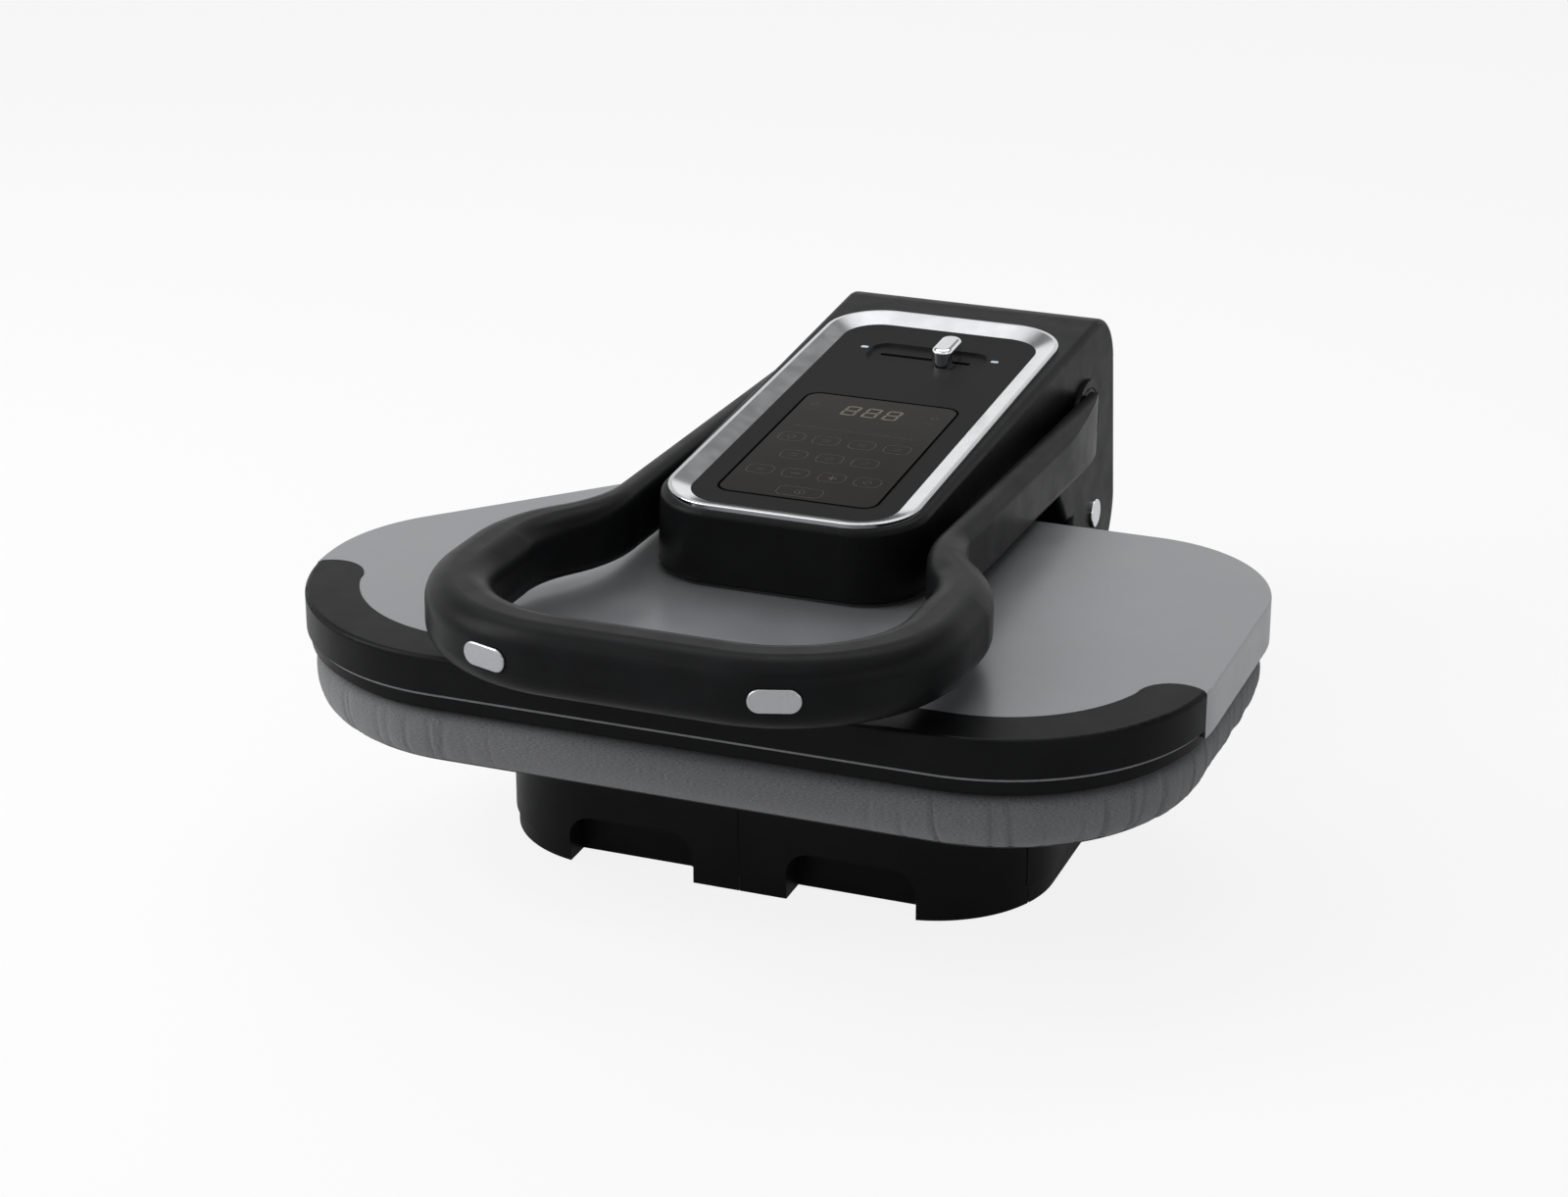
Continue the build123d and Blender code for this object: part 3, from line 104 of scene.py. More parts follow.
class PressCover(PropertyGroup):
    """Sizes of the padded board and the gathered cover on it."""

    fold_pitch: length("Fold pitch", "Usual distance between two creases", 0.0165)
    fold_depth: length("Fold depth", "Depth of a crease at a full corner", 0.0034)
    fade: length("Fade", "Distance from a corner over which the creases die down", 0.05)
    weave: length("Thread pitch", "Distance between two threads", 0.0007)
    edge_inset: length("Edge inset", "From the head's outline to the fixed cover's widest line", 0.0048)
    front_radius: length("Front corners", "Radius of the two front corners", 0.128)
    rear_radius: length("Rear corner", "Radius of the right rear corner", 0.090)
    nose_run: length("Nose run", "How far the cut-back nose reaches along the rear edge", 0.150)
    nose_length: length("Nose length", "How far the cut-back nose reaches along the left edge", 0.160)
    nose_radius: length("Nose radius", "Radius where the nose meets the left edge", 0.105)
    nose_rear_radius: length("Nose rear radius", "Radius where the nose meets the rear edge", 0.060)
    around: IntProperty(name="Points round", description="Points round the cover's edge",
                        min=200, default=1500)


class PressDisplay(PropertyGroup):
    """Sizes of what shows behind the display's glass."""

    slope: angle("Deck slope", "Slope of the control deck", 2.9)
    digit_height: length("Digit height", "Height of a figure", 0.0155)
    digit_width: length("Digit width", "Width of a figure", 0.0098)
    digit_pitch: length("Digit pitch", "Distance between two figures", 0.0138)
    digit_lean: angle("Digit lean", "How far the figures lean to the right", 6)
    key_width: length("Key width", "Width of a key", 0.0170)
    long_key_width: length("Long key width", "Width of the key nearest the front", 0.0290)
    key_height: length("Key height", "Height of every key", 0.0135)
    key_corner: length("Key corner", "Rounding of a key's corners", 0.0045)
    stroke: length("Stroke", "Width of a key's outline", 0.00045)
    border_inset: length("Border inset", "From the glass's edge to the dark border", 0.0005)
    border_corner: length("Border corner", "Rounding of the border's corners", 0.0100)
    border_width: length("Border width", "Width of the dark border", 0.0016)
    film: length("Film", "Thickness of what is printed on the glass", 0.00005)
    film_lift: length("Film lift", "Gap that keeps a print clear of the glass", 0.00002)


class PressStage(PropertyGroup):
    """Camera and light."""

    azimuth: angle("Azimuth", "Camera's turn round the press", 20.95)
    elevation: angle("Elevation", "Camera's height above the level", 22.27)
    distance: length("Distance", "Camera's distance from its target", 2.1799)
    target: FloatVectorProperty(name="Target", description="Point that the camera looks at", size=3,
                                subtype="XYZ", unit="LENGTH", default=(0, -0.0885, 0.1623))
    lens: FloatProperty(name="Lens", description="Focal length in millimetres", default=83.34)
    floor: colour("Floor", "Pale studio floor", (0.86, 0.86, 0.86))
    floor_size: length("Floor size", "Side of the square floor", 14)
    ambient: colour("Ambient light", "Colour of the light from all round", (0.9, 0.92, 0.95))
    ambient_level: FloatProperty(name="Ambient level", description="Strength of the light from all round",
                                 min=0, default=0.32)


# Selecting and joining
def clear_selection():
    """Leave nothing selected, so that an operator acts on the new piece alone."""
    if bpy.context.object and bpy.context.object.mode != "OBJECT":
        bpy.ops.object.mode_set(mode="OBJECT")
    bpy.ops.object.select_all(action="DESELECT")


def join(pieces, name):
    """Join pieces into one named object, and leave it alone selected and active."""
    clear_selection()
    for piece in pieces:
        piece.select_set(True)
    bpy.context.view_layer.objects.active = pieces[0]
    if len(pieces) > 1:
        bpy.ops.object.join()
    pieces[0].name = name
    pieces[0].data.name = name
    return pieces[0]


# Materials
NOISE_LOW, NOISE_HIGH = 0.3, 0.7  # values between which a noise texture mostly stays


def scaled(base, factor):
    """A colour made lighter or darker."""
    return tuple(min(1.0, part * factor) for part in base)


class Shader:
    """A node material under construction round one Principled shader."""

    def __init__(self, name, base, **sockets):
        self.material = bpy.data.materials.new(name)
        self.material.use_nodes = True
        self.nodes = self.material.node_tree.nodes
        self.links = self.material.node_tree.links
        self.surface = self.nodes["Principled BSDF"]
        self.set(self.surface, Base_Color=(*base, 1), **sockets)

    def set(self, node, **sockets):
        """Set constants on a node's own sockets, with _ for each space in a socket's name."""
        for name, value in sockets.items():
            node.inputs[name.replace("_", " ")].default_value = value

    def add(self, kind, **settings):
        """Add a node and set its attributes."""
        node = self.nodes.new(kind)
        for key, value in settings.items():
            setattr(node, key, value)
        return node

    def where(self, space="Object", stretch=(1, 1, 1)):
        """Coordinates on the piece, or along its UV map."""
        source = self.add("ShaderNodeTexCoord")
        mapping = self.add("ShaderNodeMapping")
        self.set(mapping, Scale=stretch)
        self.links.new(source.outputs[space], mapping.inputs["Vector"])
        return mapping.outputs["Vector"]

    def speckle(self, size, detail, **coordinates):
        """Noise whose features are about a size across, in metres."""
        node = self.add("ShaderNodeTexNoise")
        self.set(node, Scale=1.0 / size, Detail=detail)
        self.links.new(self.where(**coordinates), node.inputs["Vector"])
        return node.outputs["Fac"]

    def spread(self, value, low, high, start=NOISE_LOW, end=NOISE_HIGH):
        """Map a texture to a range of values."""
        node = self.add("ShaderNodeMapRange")
        self.set(node, From_Min=start, From_Max=end, To_Min=low, To_Max=high)
        self.links.new(value, node.inputs["Value"])
        return node.outputs["Result"]

    def mix(self, kind, first, second):
        """Combine two values."""
        node = self.add("ShaderNodeMath", operation=kind)
        self.links.new(first, node.inputs[0])
        self.links.new(second, node.inputs[1])
        return node.outputs["Value"]

    def tone(self, value, dark, light):
        """Vary the base colour between two tones."""
        ramp = self.add("ShaderNodeValToRGB")
        for stop, place, tint in zip(ramp.color_ramp.elements, (NOISE_LOW, NOISE_HIGH), (dark, light)):
            stop.position = place
            stop.color = (*tint, 1)
        self.links.new(value, ramp.inputs["Fac"])
        self.links.new(ramp.outputs["Color"], self.surface.inputs["Base Color"])

    def bump(self, value, depth, strength):
        """Raise the surface by a texture, by a depth in metres, over any bump it has."""
        node = self.add("ShaderNodeBump")
        self.set(node, Strength=strength, Distance=depth)
        self.links.new(value, node.inputs["Height"])
        last = self.surface.inputs["Normal"]
        if last.links:
            self.links.new(last.links[0].from_socket, node.inputs["Normal"])
        self.links.new(node.outputs["Normal"], last)

    def mottle(self, base, dark, light, **texture):
        """Blotches between a darker and a lighter share of the base colour."""
        self.tone(self.speckle(**texture), scaled(base, dark), scaled(base, light))

    def uneven_gloss(self, low, high, **texture):
        """Patches of different roughness."""
        rough = self.spread(self.speckle(**texture), low, high)
        self.links.new(rough, self.surface.inputs["Roughness"])

    def tooth(self, depth, strength, **texture):
        """A fine uneven surface."""
        self.bump(self.speckle(**texture), depth, strength)


def painted_shell(finish):
    """Satin paint with a very fine flake and a faint orange peel."""
    shader = Shader("satin_silver_paint", finish.shell, Metallic=0.55, Roughness=0.36,
                    Coat_Weight=0.25, Coat_Roughness=0.22)
    shader.mottle(finish.shell, dark=0.93, light=1.07, size=0.0007, detail=3)
    shader.uneven_gloss(low=0.33, high=0.40, size=0.045, detail=4)
    shader.tooth(depth=0.00002, strength=0.35, size=0.0035, detail=1)
    return shader.material


def satin_moulding(name, finish, roughness=0.40, factor=1.0, gloss=0.09):
    """Black plastic with a fine moulded grain and patches of slightly different gloss."""
    base = scaled(finish.moulding, factor)
    shader = Shader(name, base, Roughness=roughness, Specular_IOR_Level=gloss)
    shader.mottle(base, dark=0.85, light=1.2, size=0.03, detail=5)
    shader.uneven_gloss(low=roughness - 0.04, high=roughness + 0.05, size=0.02, detail=5)
    shader.tooth(depth=0.00003, strength=0.30, size=finish.grain, detail=2)
    return shader.material


def matte_panel(finish):
    """Printed film with a fine tooth."""
    shader = Shader("matte_panel_film", finish.panel, Roughness=0.46, Specular_IOR_Level=0.05)
    shader.mottle(finish.panel, dark=0.85, light=1.25, size=0.0006, detail=2)
    shader.tooth(depth=0.00002, strength=0.4, size=0.0004, detail=1)
    return shader.material


def bright_chrome(name, finish, roughness):
    """Plated metal with faint wiping marks."""
    shader = Shader(name, finish.chrome, Metallic=1.0, Roughness=roughness)
    shader.uneven_gloss(low=roughness - 0.02, high=roughness + 0.06, size=0.012, detail=5)
    shader.tooth(depth=0.00001, strength=0.2, size=0.006, detail=2)
    return shader.material


def satin_chrome(finish):
    """Plated plastic of the push buttons, softly blurred."""
    shader = Shader("satin_chrome", scaled(finish.chrome, factor=0.55), Metallic=1.0, Roughness=0.26)
    shader.uneven_gloss(low=0.24, high=0.29, size=0.010, detail=3)
    return shader.material


def smoked_glass(finish):
    """Dark glass with a warm cast."""
    shader = Shader("smoked_display_glass", finish.glass, Roughness=0.07, Specular_IOR_Level=0.05)
    shader.mottle(finish.glass, dark=0.8, light=1.5, size=0.05, detail=2)
    shader.uneven_gloss(low=0.05, high=0.12, size=0.03, detail=4)
    return shader.material


def indicator_window():
    """Pale blue window of an indicator."""
    dark, middle, light = (0.44, 0.53, 0.62), (0.50, 0.60, 0.70), (0.58, 0.67, 0.78)
    shader = Shader("indicator_window", middle, Roughness=0.2, Coat_Weight=0.5)
    shader.tone(shader.speckle(size=0.001, detail=2), dark, light)
    return shader.material


def dim_ink(name, base, gloss=0.07):
    """Ink behind the glass: of the key outlines and the border, and the painted glow of the figures."""
    shader = Shader(name, base, Roughness=0.35, Specular_IOR_Level=gloss)
    shader.mottle(base, dark=0.8, light=1.15, size=0.004, detail=2)
    return shader.material


def woven_cotton(finish, cover):
    """Grey cotton: crossed threads, slubs and a heathered tone."""
    shader = Shader("woven_cotton", finish.fabric, Roughness=0.92, Sheen_Weight=0.25, Sheen_Roughness=0.5)
    threads = []
    for axis in ("X", "Y"):
        wave = shader.add("ShaderNodeTexWave", wave_type="BANDS", bands_direction=axis, wave_profile="SIN")
        bands = math.pi / 10 / cover.weave  # the wave texture repeats every pi / 10 of its own unit
        shader.set(wave, Scale=bands, Distortion=1.2, Detail=1.0, Detail_Scale=2.0)
        shader.links.new(shader.where(space="UV"), wave.inputs["Vector"])
        threads.append(wave.outputs["Fac"])
    weave = shader.mix("MULTIPLY", *threads)
    slubs = shader.speckle(size=0.0022, detail=6, stretch=(1, 6, 1), space="UV")
    heather = shader.spread(slubs, low=0.1, high=0.7, start=0.35, end=0.65)
    raised = shader.spread(weave, low=0.0, high=0.35, start=0, end=1)
    dark, light = scaled(finish.fabric, factor=0.72), scaled(finish.fabric, factor=1.35)
    shader.tone(shader.mix("ADD", heather, raised), dark, light)
    shader.bump(weave, depth=0.00025, strength=0.7)
    shader.tooth(depth=0.0006, strength=0.35, size=0.006, detail=4, space="UV")
    return shader.material


def plain_metal(name, base, roughness, stretch=(1, 1, 1)):
    """Brushed or cast metal."""
    shader = Shader(name, base, Metallic=1.0, Roughness=roughness)
    shader.uneven_gloss(low=roughness - 0.08, high=roughness + 0.08, size=0.002, detail=4, stretch=stretch)
    shader.tooth(depth=0.00002, strength=0.3, size=0.0009, detail=3, stretch=stretch)
    return shader.material


def plain_plastic(name, base, roughness):
    """Inner plastic, rubber or lacquer."""
    shader = Shader(name, base, Roughness=roughness)
    shader.mottle(base, dark=0.85, light=1.15, size=0.004, detail=4)
    shader.tooth(depth=0.00004, strength=0.3, size=0.0008, detail=2)
    return shader.material


def wear(material, *names):
    """Give CAD nodes a material."""
    for name in names:
        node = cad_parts[name]
        if not node.material_slots:
            node.data.materials.append(material)
        for place in node.material_slots:
            place.material = material


def finish_outside(finish):
    """Everything that can be seen with the press closed."""
    wear(painted_shell(finish), "head_shell")
    wear(satin_moulding("satin_black_moulding", finish),
         "arm_housing", "base_housing", "water_tank", "tank_cap")
    wear(satin_moulding("handle_moulding", finish, roughness=0.36, factor=1.35, gloss=0.07),
         "handle_upper", "handle_lower")
    wear(satin_moulding("bumper_moulding", finish, roughness=0.34, factor=1.1, gloss=0.07),
         "front_bumper", "plate_carrier")
    wear(satin_moulding("hub_moulding", finish, roughness=0.42, factor=1.1), "hub_discs", "hinge_drum")
    # The bottom cover, seen deep in the base's arches, is half as light and duller than the other black
    # mouldings: painted shade for the arches' insides
    wear(satin_moulding("base_cover_painted_shade_moulding", finish, roughness=0.7, factor=0.5, gloss=0.02), "base_cover")
    # Pale grey strip: partly its own colour, partly a painted highlight along the bumper's lower edge
    wear(plain_plastic("trim_strip_satin_painted_highlight", finish.trim, roughness=0.34), "trim_strip")
    wear(bright_chrome("polished_chrome", finish, roughness=0.09), "slider_knob", "hinge_caps")
    wear(bright_chrome("bezel_chrome", finish, roughness=0.15), "chrome_bezel")
    wear(satin_chrome(finish), "button_left", "button_right")
    wear(matte_panel(finish), "control_panel")
    wear(smoked_glass(finish), "display_glass")
    wear(indicator_window(), "indicator_lenses")
    wear(plain_plastic("soft_rubber", finish.rubber, roughness=0.75), "console_seal", "rubber_feet")
    wear(plain_plastic("tray_lacquer", finish.tray, roughness=0.55), "board_tray")


def finish_inside(finish):
    """The works, most of which can be seen only with the press open or not at all."""
    wear(plain_plastic("inner_plastic", finish.inner, roughness=0.6),
         "power_inlet", "tank_valve", "water_pump", "button_switches")
    wear(plain_plastic("silicone_tube", finish.tube, roughness=0.4), "water_tube")
    wear(plain_plastic("circuit_lacquer", finish.circuit, roughness=0.35), "control_board")
    wear(plain_metal("zinc_plated_steel", finish.steel, roughness=0.38, stretch=(1, 12, 1)),
         "hinge_bracket", "arm_beam", "handle_shaft", "pressure_links", "hinge_pins", "anchor_pins",
         "lift_springs", "base_screws", "beam_screws", "heating_element")
    wear(plain_metal("cast_plate", finish.casting, roughness=0.34), "heating_plate", "steam_chamber")
    wear(plain_metal("brass", finish.brass, roughness=0.3), "hinge_bushes", "handle_bushes", "thermostat")


class PRESS_OT_finishes(Operator):
    """Give every fixed part its finish"""

    bl_idname = "press.finishes"
    bl_label = "Finishes"

    def execute(self, context):
        finish_outside(context.scene.press_finishes)
        finish_inside(context.scene.press_finishes)
        return {"FINISHED"}


# Board cover
# One stretch of the board's edge. Its origin is the centre of a round one and the start of a straight one,
# whose turn is 0. Gathers are the shares of the creases at its two ends, and rest is what is left of them
# in its middle.
Stretch = namedtuple("Stretch", "length origin into turn radius gathers rest")

# One point of the outline, with its share of the creases and its distance round the edge
EdgePoint = namedtuple("EdgePoint", "place outward share distance")

CORNER_FULLNESS_SHARE = 0.25

# Up the cover's side, from the hem under the board to the flat top: inset from the head's outline and
# height above the fixed cover's lowest edge, in metres, and share of the creases
COVER_SIDE = (
    (0.0157, 0.0028, 0.0), (0.0157, 0.0008, 0.0), (0.0147, 0.0003, 0.2), (0.0128, 0.0004, 0.5),
    (0.0114, 0.0014, 0.8), (0.0106, 0.0026, 1.0), (0.0092, 0.0042, 1.0), (0.0076, 0.0066, 0.95),
    (0.0063, 0.0098, 0.88), (0.0054, 0.0135, 0.8), (0.0050, 0.0175, 0.74), (0.0049, 0.0212, 0.7),
    (0.0051, 0.0245, 0.7), (0.0058, 0.0273, 0.65), (0.0070, 0.0295, 0.5), (0.0090, 0.0310, 0.3),
    (0.0125, 0.0321, 0.12), (0.0200, 0.0329, 0.03), (0.0310, 0.0337, 0.0), (0.0420, 0.0342, 0.0),
)
HEM_ROWS = 4
FLAT_ROWS = 3

# The flat top runs in steps to a spine, which stays clear of the left and right edges
TOP_STEPS = (0.2, 0.4, 0.6, 0.8)
SPINE_LEFT, SPINE_RIGHT = 0.120, 0.090
TOP_CROWN = 0.0003
RIPPLE_HEIGHT, RIPPLES_PER_METRE = 0.00018, 22

# Soft puffs between the creases, and how far they slump
PUFF_SHARE, PUFFS_PER_METRE, PUFF_LEAN = 0.55, 55, 0.10
SLUMP_SHARE, SLUMPS_PER_METRE, SLUMP_LEAN = 0.35, 30, 0.3
PUFF_SEED, SLUMP_SEED, RIPPLE_SEED = 3.7, 1.3, 0.4

# A crease, in shares of the fold pitch and of the fold depth
CREASE_WANDER_SHARE = 0.40
CREASE_LEAN_SHARE = 0.022
CREASE_MIDDLE_ROW = 8
CREASE_WIDTH_SHARE, CREASE_WIDTH_SPREAD_SHARE = 0.115, 0.04
CREASE_DEPTH_SHARE, CREASE_DEPTH_SPREAD_SHARE = 0.62, 0.38


def head_edges(cover):
    """Left, right, front and rear edge of the head's outline, which the board shares."""
    low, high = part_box("board_cover")
    inset = cover.edge_inset
    return low.x - inset, high.x + inset, low.y - inset, high.y + inset


def edge_stretches(cover):
    """Straight and round stretches of the head's outline, in turn, against the clock seen from above."""
    left, right, front, rear = head_edges(cover)
    # Place, radius, share of the creases there, and what is left of them along the edge before it
    board_corners = [
        (right, front, cover.front_radius, 0.75, 0.1),
        (right, rear, cover.rear_radius, 0.8, 0.7),
        (left + cover.nose_run, rear, cover.nose_rear_radius, 0.8, 0.2),
        (left, rear - cover.nose_length, cover.nose_radius, 0.5, 0.4),
        (left, front, cover.front_radius, 0.35, 0.6),
    ]
    places = [Vector(corner[:2]) for corner in board_corners]
    rounds = []
    for index, (*_, radius, gather, rest) in enumerate(board_corners):
        corner = places[index]
        into = (corner - places[index - 1]).normalized()
        onward = (places[(index + 1) % len(places)] - corner).normalized()
        turn = math.atan2(into.cross(onward), into.dot(onward))
        reach = radius * math.tan(turn / 2)
        start, end = corner - into * reach, corner + onward * reach
        centre = start + Vector((-into.y, into.x)) * radius
        bend = Stretch(radius * turn, centre, into, turn, radius, (gather, gather), rest)
        rounds.append((start, end, bend))
    stretches = []
    for index, (start, _, bend) in enumerate(rounds):
        last_end, last_bend = rounds[index - 1][1:]
        gathers = (last_bend.gathers[1], bend.gathers[0])
        stretches.append(Stretch((start - last_end).length, last_end, bend.into, 0, 0, gathers, bend.rest))
        stretches.append(bend)
    return stretches


def place_on(stretch, along, fade):
    """Place, outward direction and share of the creases at a distance along a stretch."""
    outward = Vector((stretch.into.y, -stretch.into.x))
    first, last = stretch.gathers
    if stretch.turn:
        outward = Matrix.Rotation(along / stretch.radius, 2) @ outward
        share = first * (1 + CORNER_FULLNESS_SHARE * math.sin(math.pi * along / stretch.length))
        return stretch.origin + outward * stretch.radius, outward, share
    near_corner = max(0.0, 1 - min(along, stretch.length - along) / fade)
    share = first + (last - first) * along / stretch.length
    share *= stretch.rest + (1 - stretch.rest) * near_corner
    return stretch.origin + stretch.into * along, outward, share


def board_outline(cover):
    """Evenly spaced points round the head's outline."""
    stretches = edge_stretches(cover)
    total = sum(stretch.length for stretch in stretches)
    found = []
    for number in range(cover.around):
        distance = along = total * number / cover.around
        for stretch in stretches:
            if along <= stretch.length:
                break
            along -= stretch.length
        found.append(EdgePoint(*place_on(stretch, along, cover.fade), distance))
    return found


def fold_at(distance, cover, row):
    """Height of the gathers at a distance round the edge: soft puffs parted by narrow creases."""
    height = PUFF_SHARE * noise.noise(Vector((distance * PUFFS_PER_METRE, PUFF_SEED, row * PUFF_LEAN)))
    cell = math.floor(distance / cover.fold_pitch)
    for near in range(cell - 1, cell + 2):
        # Each crease has random values of its own
        wander, lean, size, width = (noise.cell(Vector((near + 0.5, key + 0.5, 0.5))) for key in range(4))
        shift = CREASE_WANDER_SHARE * wander + CREASE_LEAN_SHARE * lean * (row - CREASE_MIDDLE_ROW)
        middle = (near + 0.5 + shift) * cover.fold_pitch
        half_width = cover.fold_pitch * (CREASE_WIDTH_SHARE + CREASE_WIDTH_SPREAD_SHARE * width)
        reach = (distance - middle) / half_width
        height -= (CREASE_DEPTH_SHARE + CREASE_DEPTH_SPREAD_SHARE * size) * math.exp(-reach * reach)
    return height


def side_rings(mesh, outline, cover):
    """Rings of points up the cover's gathered side."""
    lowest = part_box("board_cover")[0].z
    rings = []
    for row, (inset, rise, fold) in enumerate(COVER_SIDE):
        ring = []
        for place, out, share, distance in outline:
            depth = cover.fold_depth * fold * share
            spot = place - out * (inset - depth * fold_at(distance, cover, row))
            z = lowest + rise
            if row >= HEM_ROWS:
                pattern = Vector((distance * SLUMPS_PER_METRE, row * SLUMP_LEAN, SLUMP_SEED))
                z += SLUMP_SHARE * depth * noise.noise(pattern)
            ring.append(mesh.verts.new((spot.x, spot.y, z)))
        rings.append(ring)
    return rings


def top_rings(mesh, outline, cover):
    """Rings of points over the cover's flat top, from its edge towards the spine."""
    left, right, front, rear = head_edges(cover)
    inset, rise = COVER_SIDE[-1][:2]
    edge_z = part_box("board_cover")[0].z + rise
    rings = []
    for step in TOP_STEPS:
        ring = []
        for place, out, *_ in outline:
            edge = place - out * inset
            spine = Vector((max(left + SPINE_LEFT, min(right - SPINE_RIGHT, edge.x)), (front + rear) / 2))
            spot = edge.lerp(spine, step)
            pattern = Vector((spot.x * RIPPLES_PER_METRE, spot.y * RIPPLES_PER_METRE, RIPPLE_SEED))
            ripple = RIPPLE_HEIGHT * noise.noise(pattern)
            ring.append(mesh.verts.new((spot.x, spot.y, edge_z + TOP_CROWN * step + ripple)))
        rings.append(ring)
    return rings


def climbs():
    """Distance up the cover's side at each of its rows, for the weave."""
    found = [0.0]
    for below, above in zip(COVER_SIDE, COVER_SIDE[1:]):
        found.append(found[-1] + math.hypot(above[0] - below[0], above[1] - below[1]))
    return found


def lay_flat(face, layer):
    """Run the weave straight over a face of the flat top."""
    for loop in face.loops:
        loop[layer].uv = loop.vert.co.xy


def skin(mesh, rings, spacing):
    """Smooth faces between the rings, with a weave that climbs the side and runs flat over the top."""
    layer = mesh.loops.layers.uv.new("UVMap")
    rows = climbs()
    count = len(rings[0])
    for row, (ring, above) in enumerate(zip(rings, rings[1:])):
        flat = row + 1 >= len(rows) - FLAT_ROWS
        for index in range(count):
            nearby = (index + 1) % count
            face = mesh.faces.new((ring[index], ring[nearby], above[nearby], above[index]))
            face.smooth = True
            if flat:
                lay_flat(face, layer)
                continue
            ends = [(index, row), (index + 1, row), (index + 1, row + 1), (index, row + 1)]
            for loop, (around, up) in zip(face.loops, ends):
                loop[layer].uv = (around * spacing, rows[up])
    middle = mesh.faces.new(rings[-1])
    middle.smooth = True
    lay_flat(middle, layer)
    underside = mesh.faces.new(reversed(rings[0]))
    bmesh.ops.triangulate(mesh, faces=[underside, middle])
    bmesh.ops.recalc_face_normals(mesh, faces=mesh.faces)


class PRESS_OT_cover(Operator):
    """Make the padded board with its gathered cotton cover"""

    bl_idname = "press.cover"
    bl_label = "Board cover"

    def execute(self, context):
        cover = context.scene.press_cover
        outline = board_outline(cover)
        mesh = bmesh.new()
        rings = side_rings(mesh, outline, cover) + top_rings(mesh, outline, cover)
        skin(mesh, rings, spacing=outline[1].distance)
        data = bpy.data.meshes.new("gathered_cover")
        mesh.to_mesh(data)
        mesh.free()
        piece = bpy.data.objects.new("gathered_cover", data)
        context.scene.collection.objects.link(piece)
        data.materials.append(woven_cotton(context.scene.press_finishes, cover))
        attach(piece, "base")
        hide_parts("board_cover", "board_pad")
        return {"FINISHED"}


# Display
# Places are in metres from the middle of the glass's front edge: x to the right, y towards the rear.
FIGURES_X, FIGURES_Y = -0.0010, 0.1440
RULE_Y, RULE_WIDTH = 0.1110, 0.084
MARKS_X = (-0.0405, 0.0395)
MARK_RING_Y, MARK_RADIUS = 0.148, 0.0022
MARK_BAR_Y, MARK_BAR_WIDTH = 0.139, 0.006
UPPER_ROW, MIDDLE_ROW, LOWER_ROW, LONG_KEY_ROW = 0.0925, 0.0660, 0.0385, 0.0125
OUTER_COLUMNS = (-0.0355, -0.0125, 0.0110, 0.0340)
INNER_COLUMNS = (-0.0240, -0.0005, 0.0225)

# Symbols on the keys
RING_RADIUS, LONG_RING_RADIUS = 0.0026, 0.0032
LINES_WIDTH, LINES_SHIFT = 0.0055, 0.0013
SIGN_WIDTH, SIGN_STROKE = 0.006, 0.0010
PLUS_ARM, PLUS_ARM_SHIFT = 0.0028, 0.0019
SWITCH_BAR_WIDTH, SWITCH_BAR_HEIGHT = 0.0007, 0.0026

# A figure's bars, in shares of its width and then of a bar's own width
BAR_SHARE = 0.17
BAR_CORNER_SHARE = 0.45
LEVEL_BAR_CUT_SHARE = 1.3
UPRIGHT_BAR_CUT_SHARE = 0.7
UPRIGHT_BAR_SHIFT_SHARE = 0.2

CORNER_SEGMENTS = 5
RING_SEGMENTS = 32


def glass_face(display):
    """Width and length of the glass's top face, and the matrix that lays a flat drawing on it."""
    low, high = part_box("display_glass")
    depth, height = high.y - low.y, high.z - low.z
    cosine, sine = math.cos(display.slope), math.sin(display.slope)
    # A sloping plate's box is length * cosine + thickness * sine deep, and length * sine + thickness *
    # cosine high. Solved for the length and the thickness:
    double = math.cos(2 * display.slope)
    glass_length = (depth * cosine - height * sine) / double
    thickness = (height * cosine - depth * sine) / double
    front_edge = Vector((0, low.y, low.z + thickness * cosine))
    lay = Matrix.Translation(front_edge) @ Matrix.Rotation(display.slope, 4, "X")
    return high.x - low.x, glass_length, lay


def flat_plate(width, height, x, y, corner=0.0):
    """A flat plate with its middle at a place, and rounded corners if they are asked for."""
    clear_selection()
    bpy.ops.mesh.primitive_plane_add(size=1)
    plate = bpy.context.object
    bpy.ops.object.mode_set(mode="EDIT")
    bpy.ops.transform.resize(value=(width, height, 1))
    if corner:
        bpy.ops.mesh.bevel(offset=corner, segments=CORNER_SEGMENTS, affect="VERTICES", clamp_overlap=True)
    bpy.ops.object.mode_set(mode="OBJECT")
    plate.location = (x, y, 0)
    bpy.ops.object.transform_apply(location=True, rotation=True, scale=True)
    return plate


def keep_rim(plate, stroke):
    """Cut the middle out of a flat plate and leave a stroke along its rim."""
    bpy.ops.object.mode_set(mode="EDIT")
    bpy.ops.mesh.select_all(action="SELECT")
    bpy.ops.mesh.inset(thickness=stroke)
    bpy.ops.mesh.delete(type="FACE")
    bpy.ops.object.mode_set(mode="OBJECT")
    return plate


def key_outline(display, width, x, y):
    """The drawn outline of a key."""
    plate = flat_plate(width, display.key_height, x, y, display.key_corner)
    return keep_rim(plate, display.stroke)


def ring_mark(radius, x, y, stroke):
    """A drawn circle."""
    clear_selection()
    bpy.ops.mesh.primitive_circle_add(vertices=RING_SEGMENTS, radius=radius, fill_type="NGON",
                                      location=(x, y, 0))
    bpy.ops.object.transform_apply(location=True, rotation=True, scale=True)
    return keep_rim(bpy.context.object, stroke)


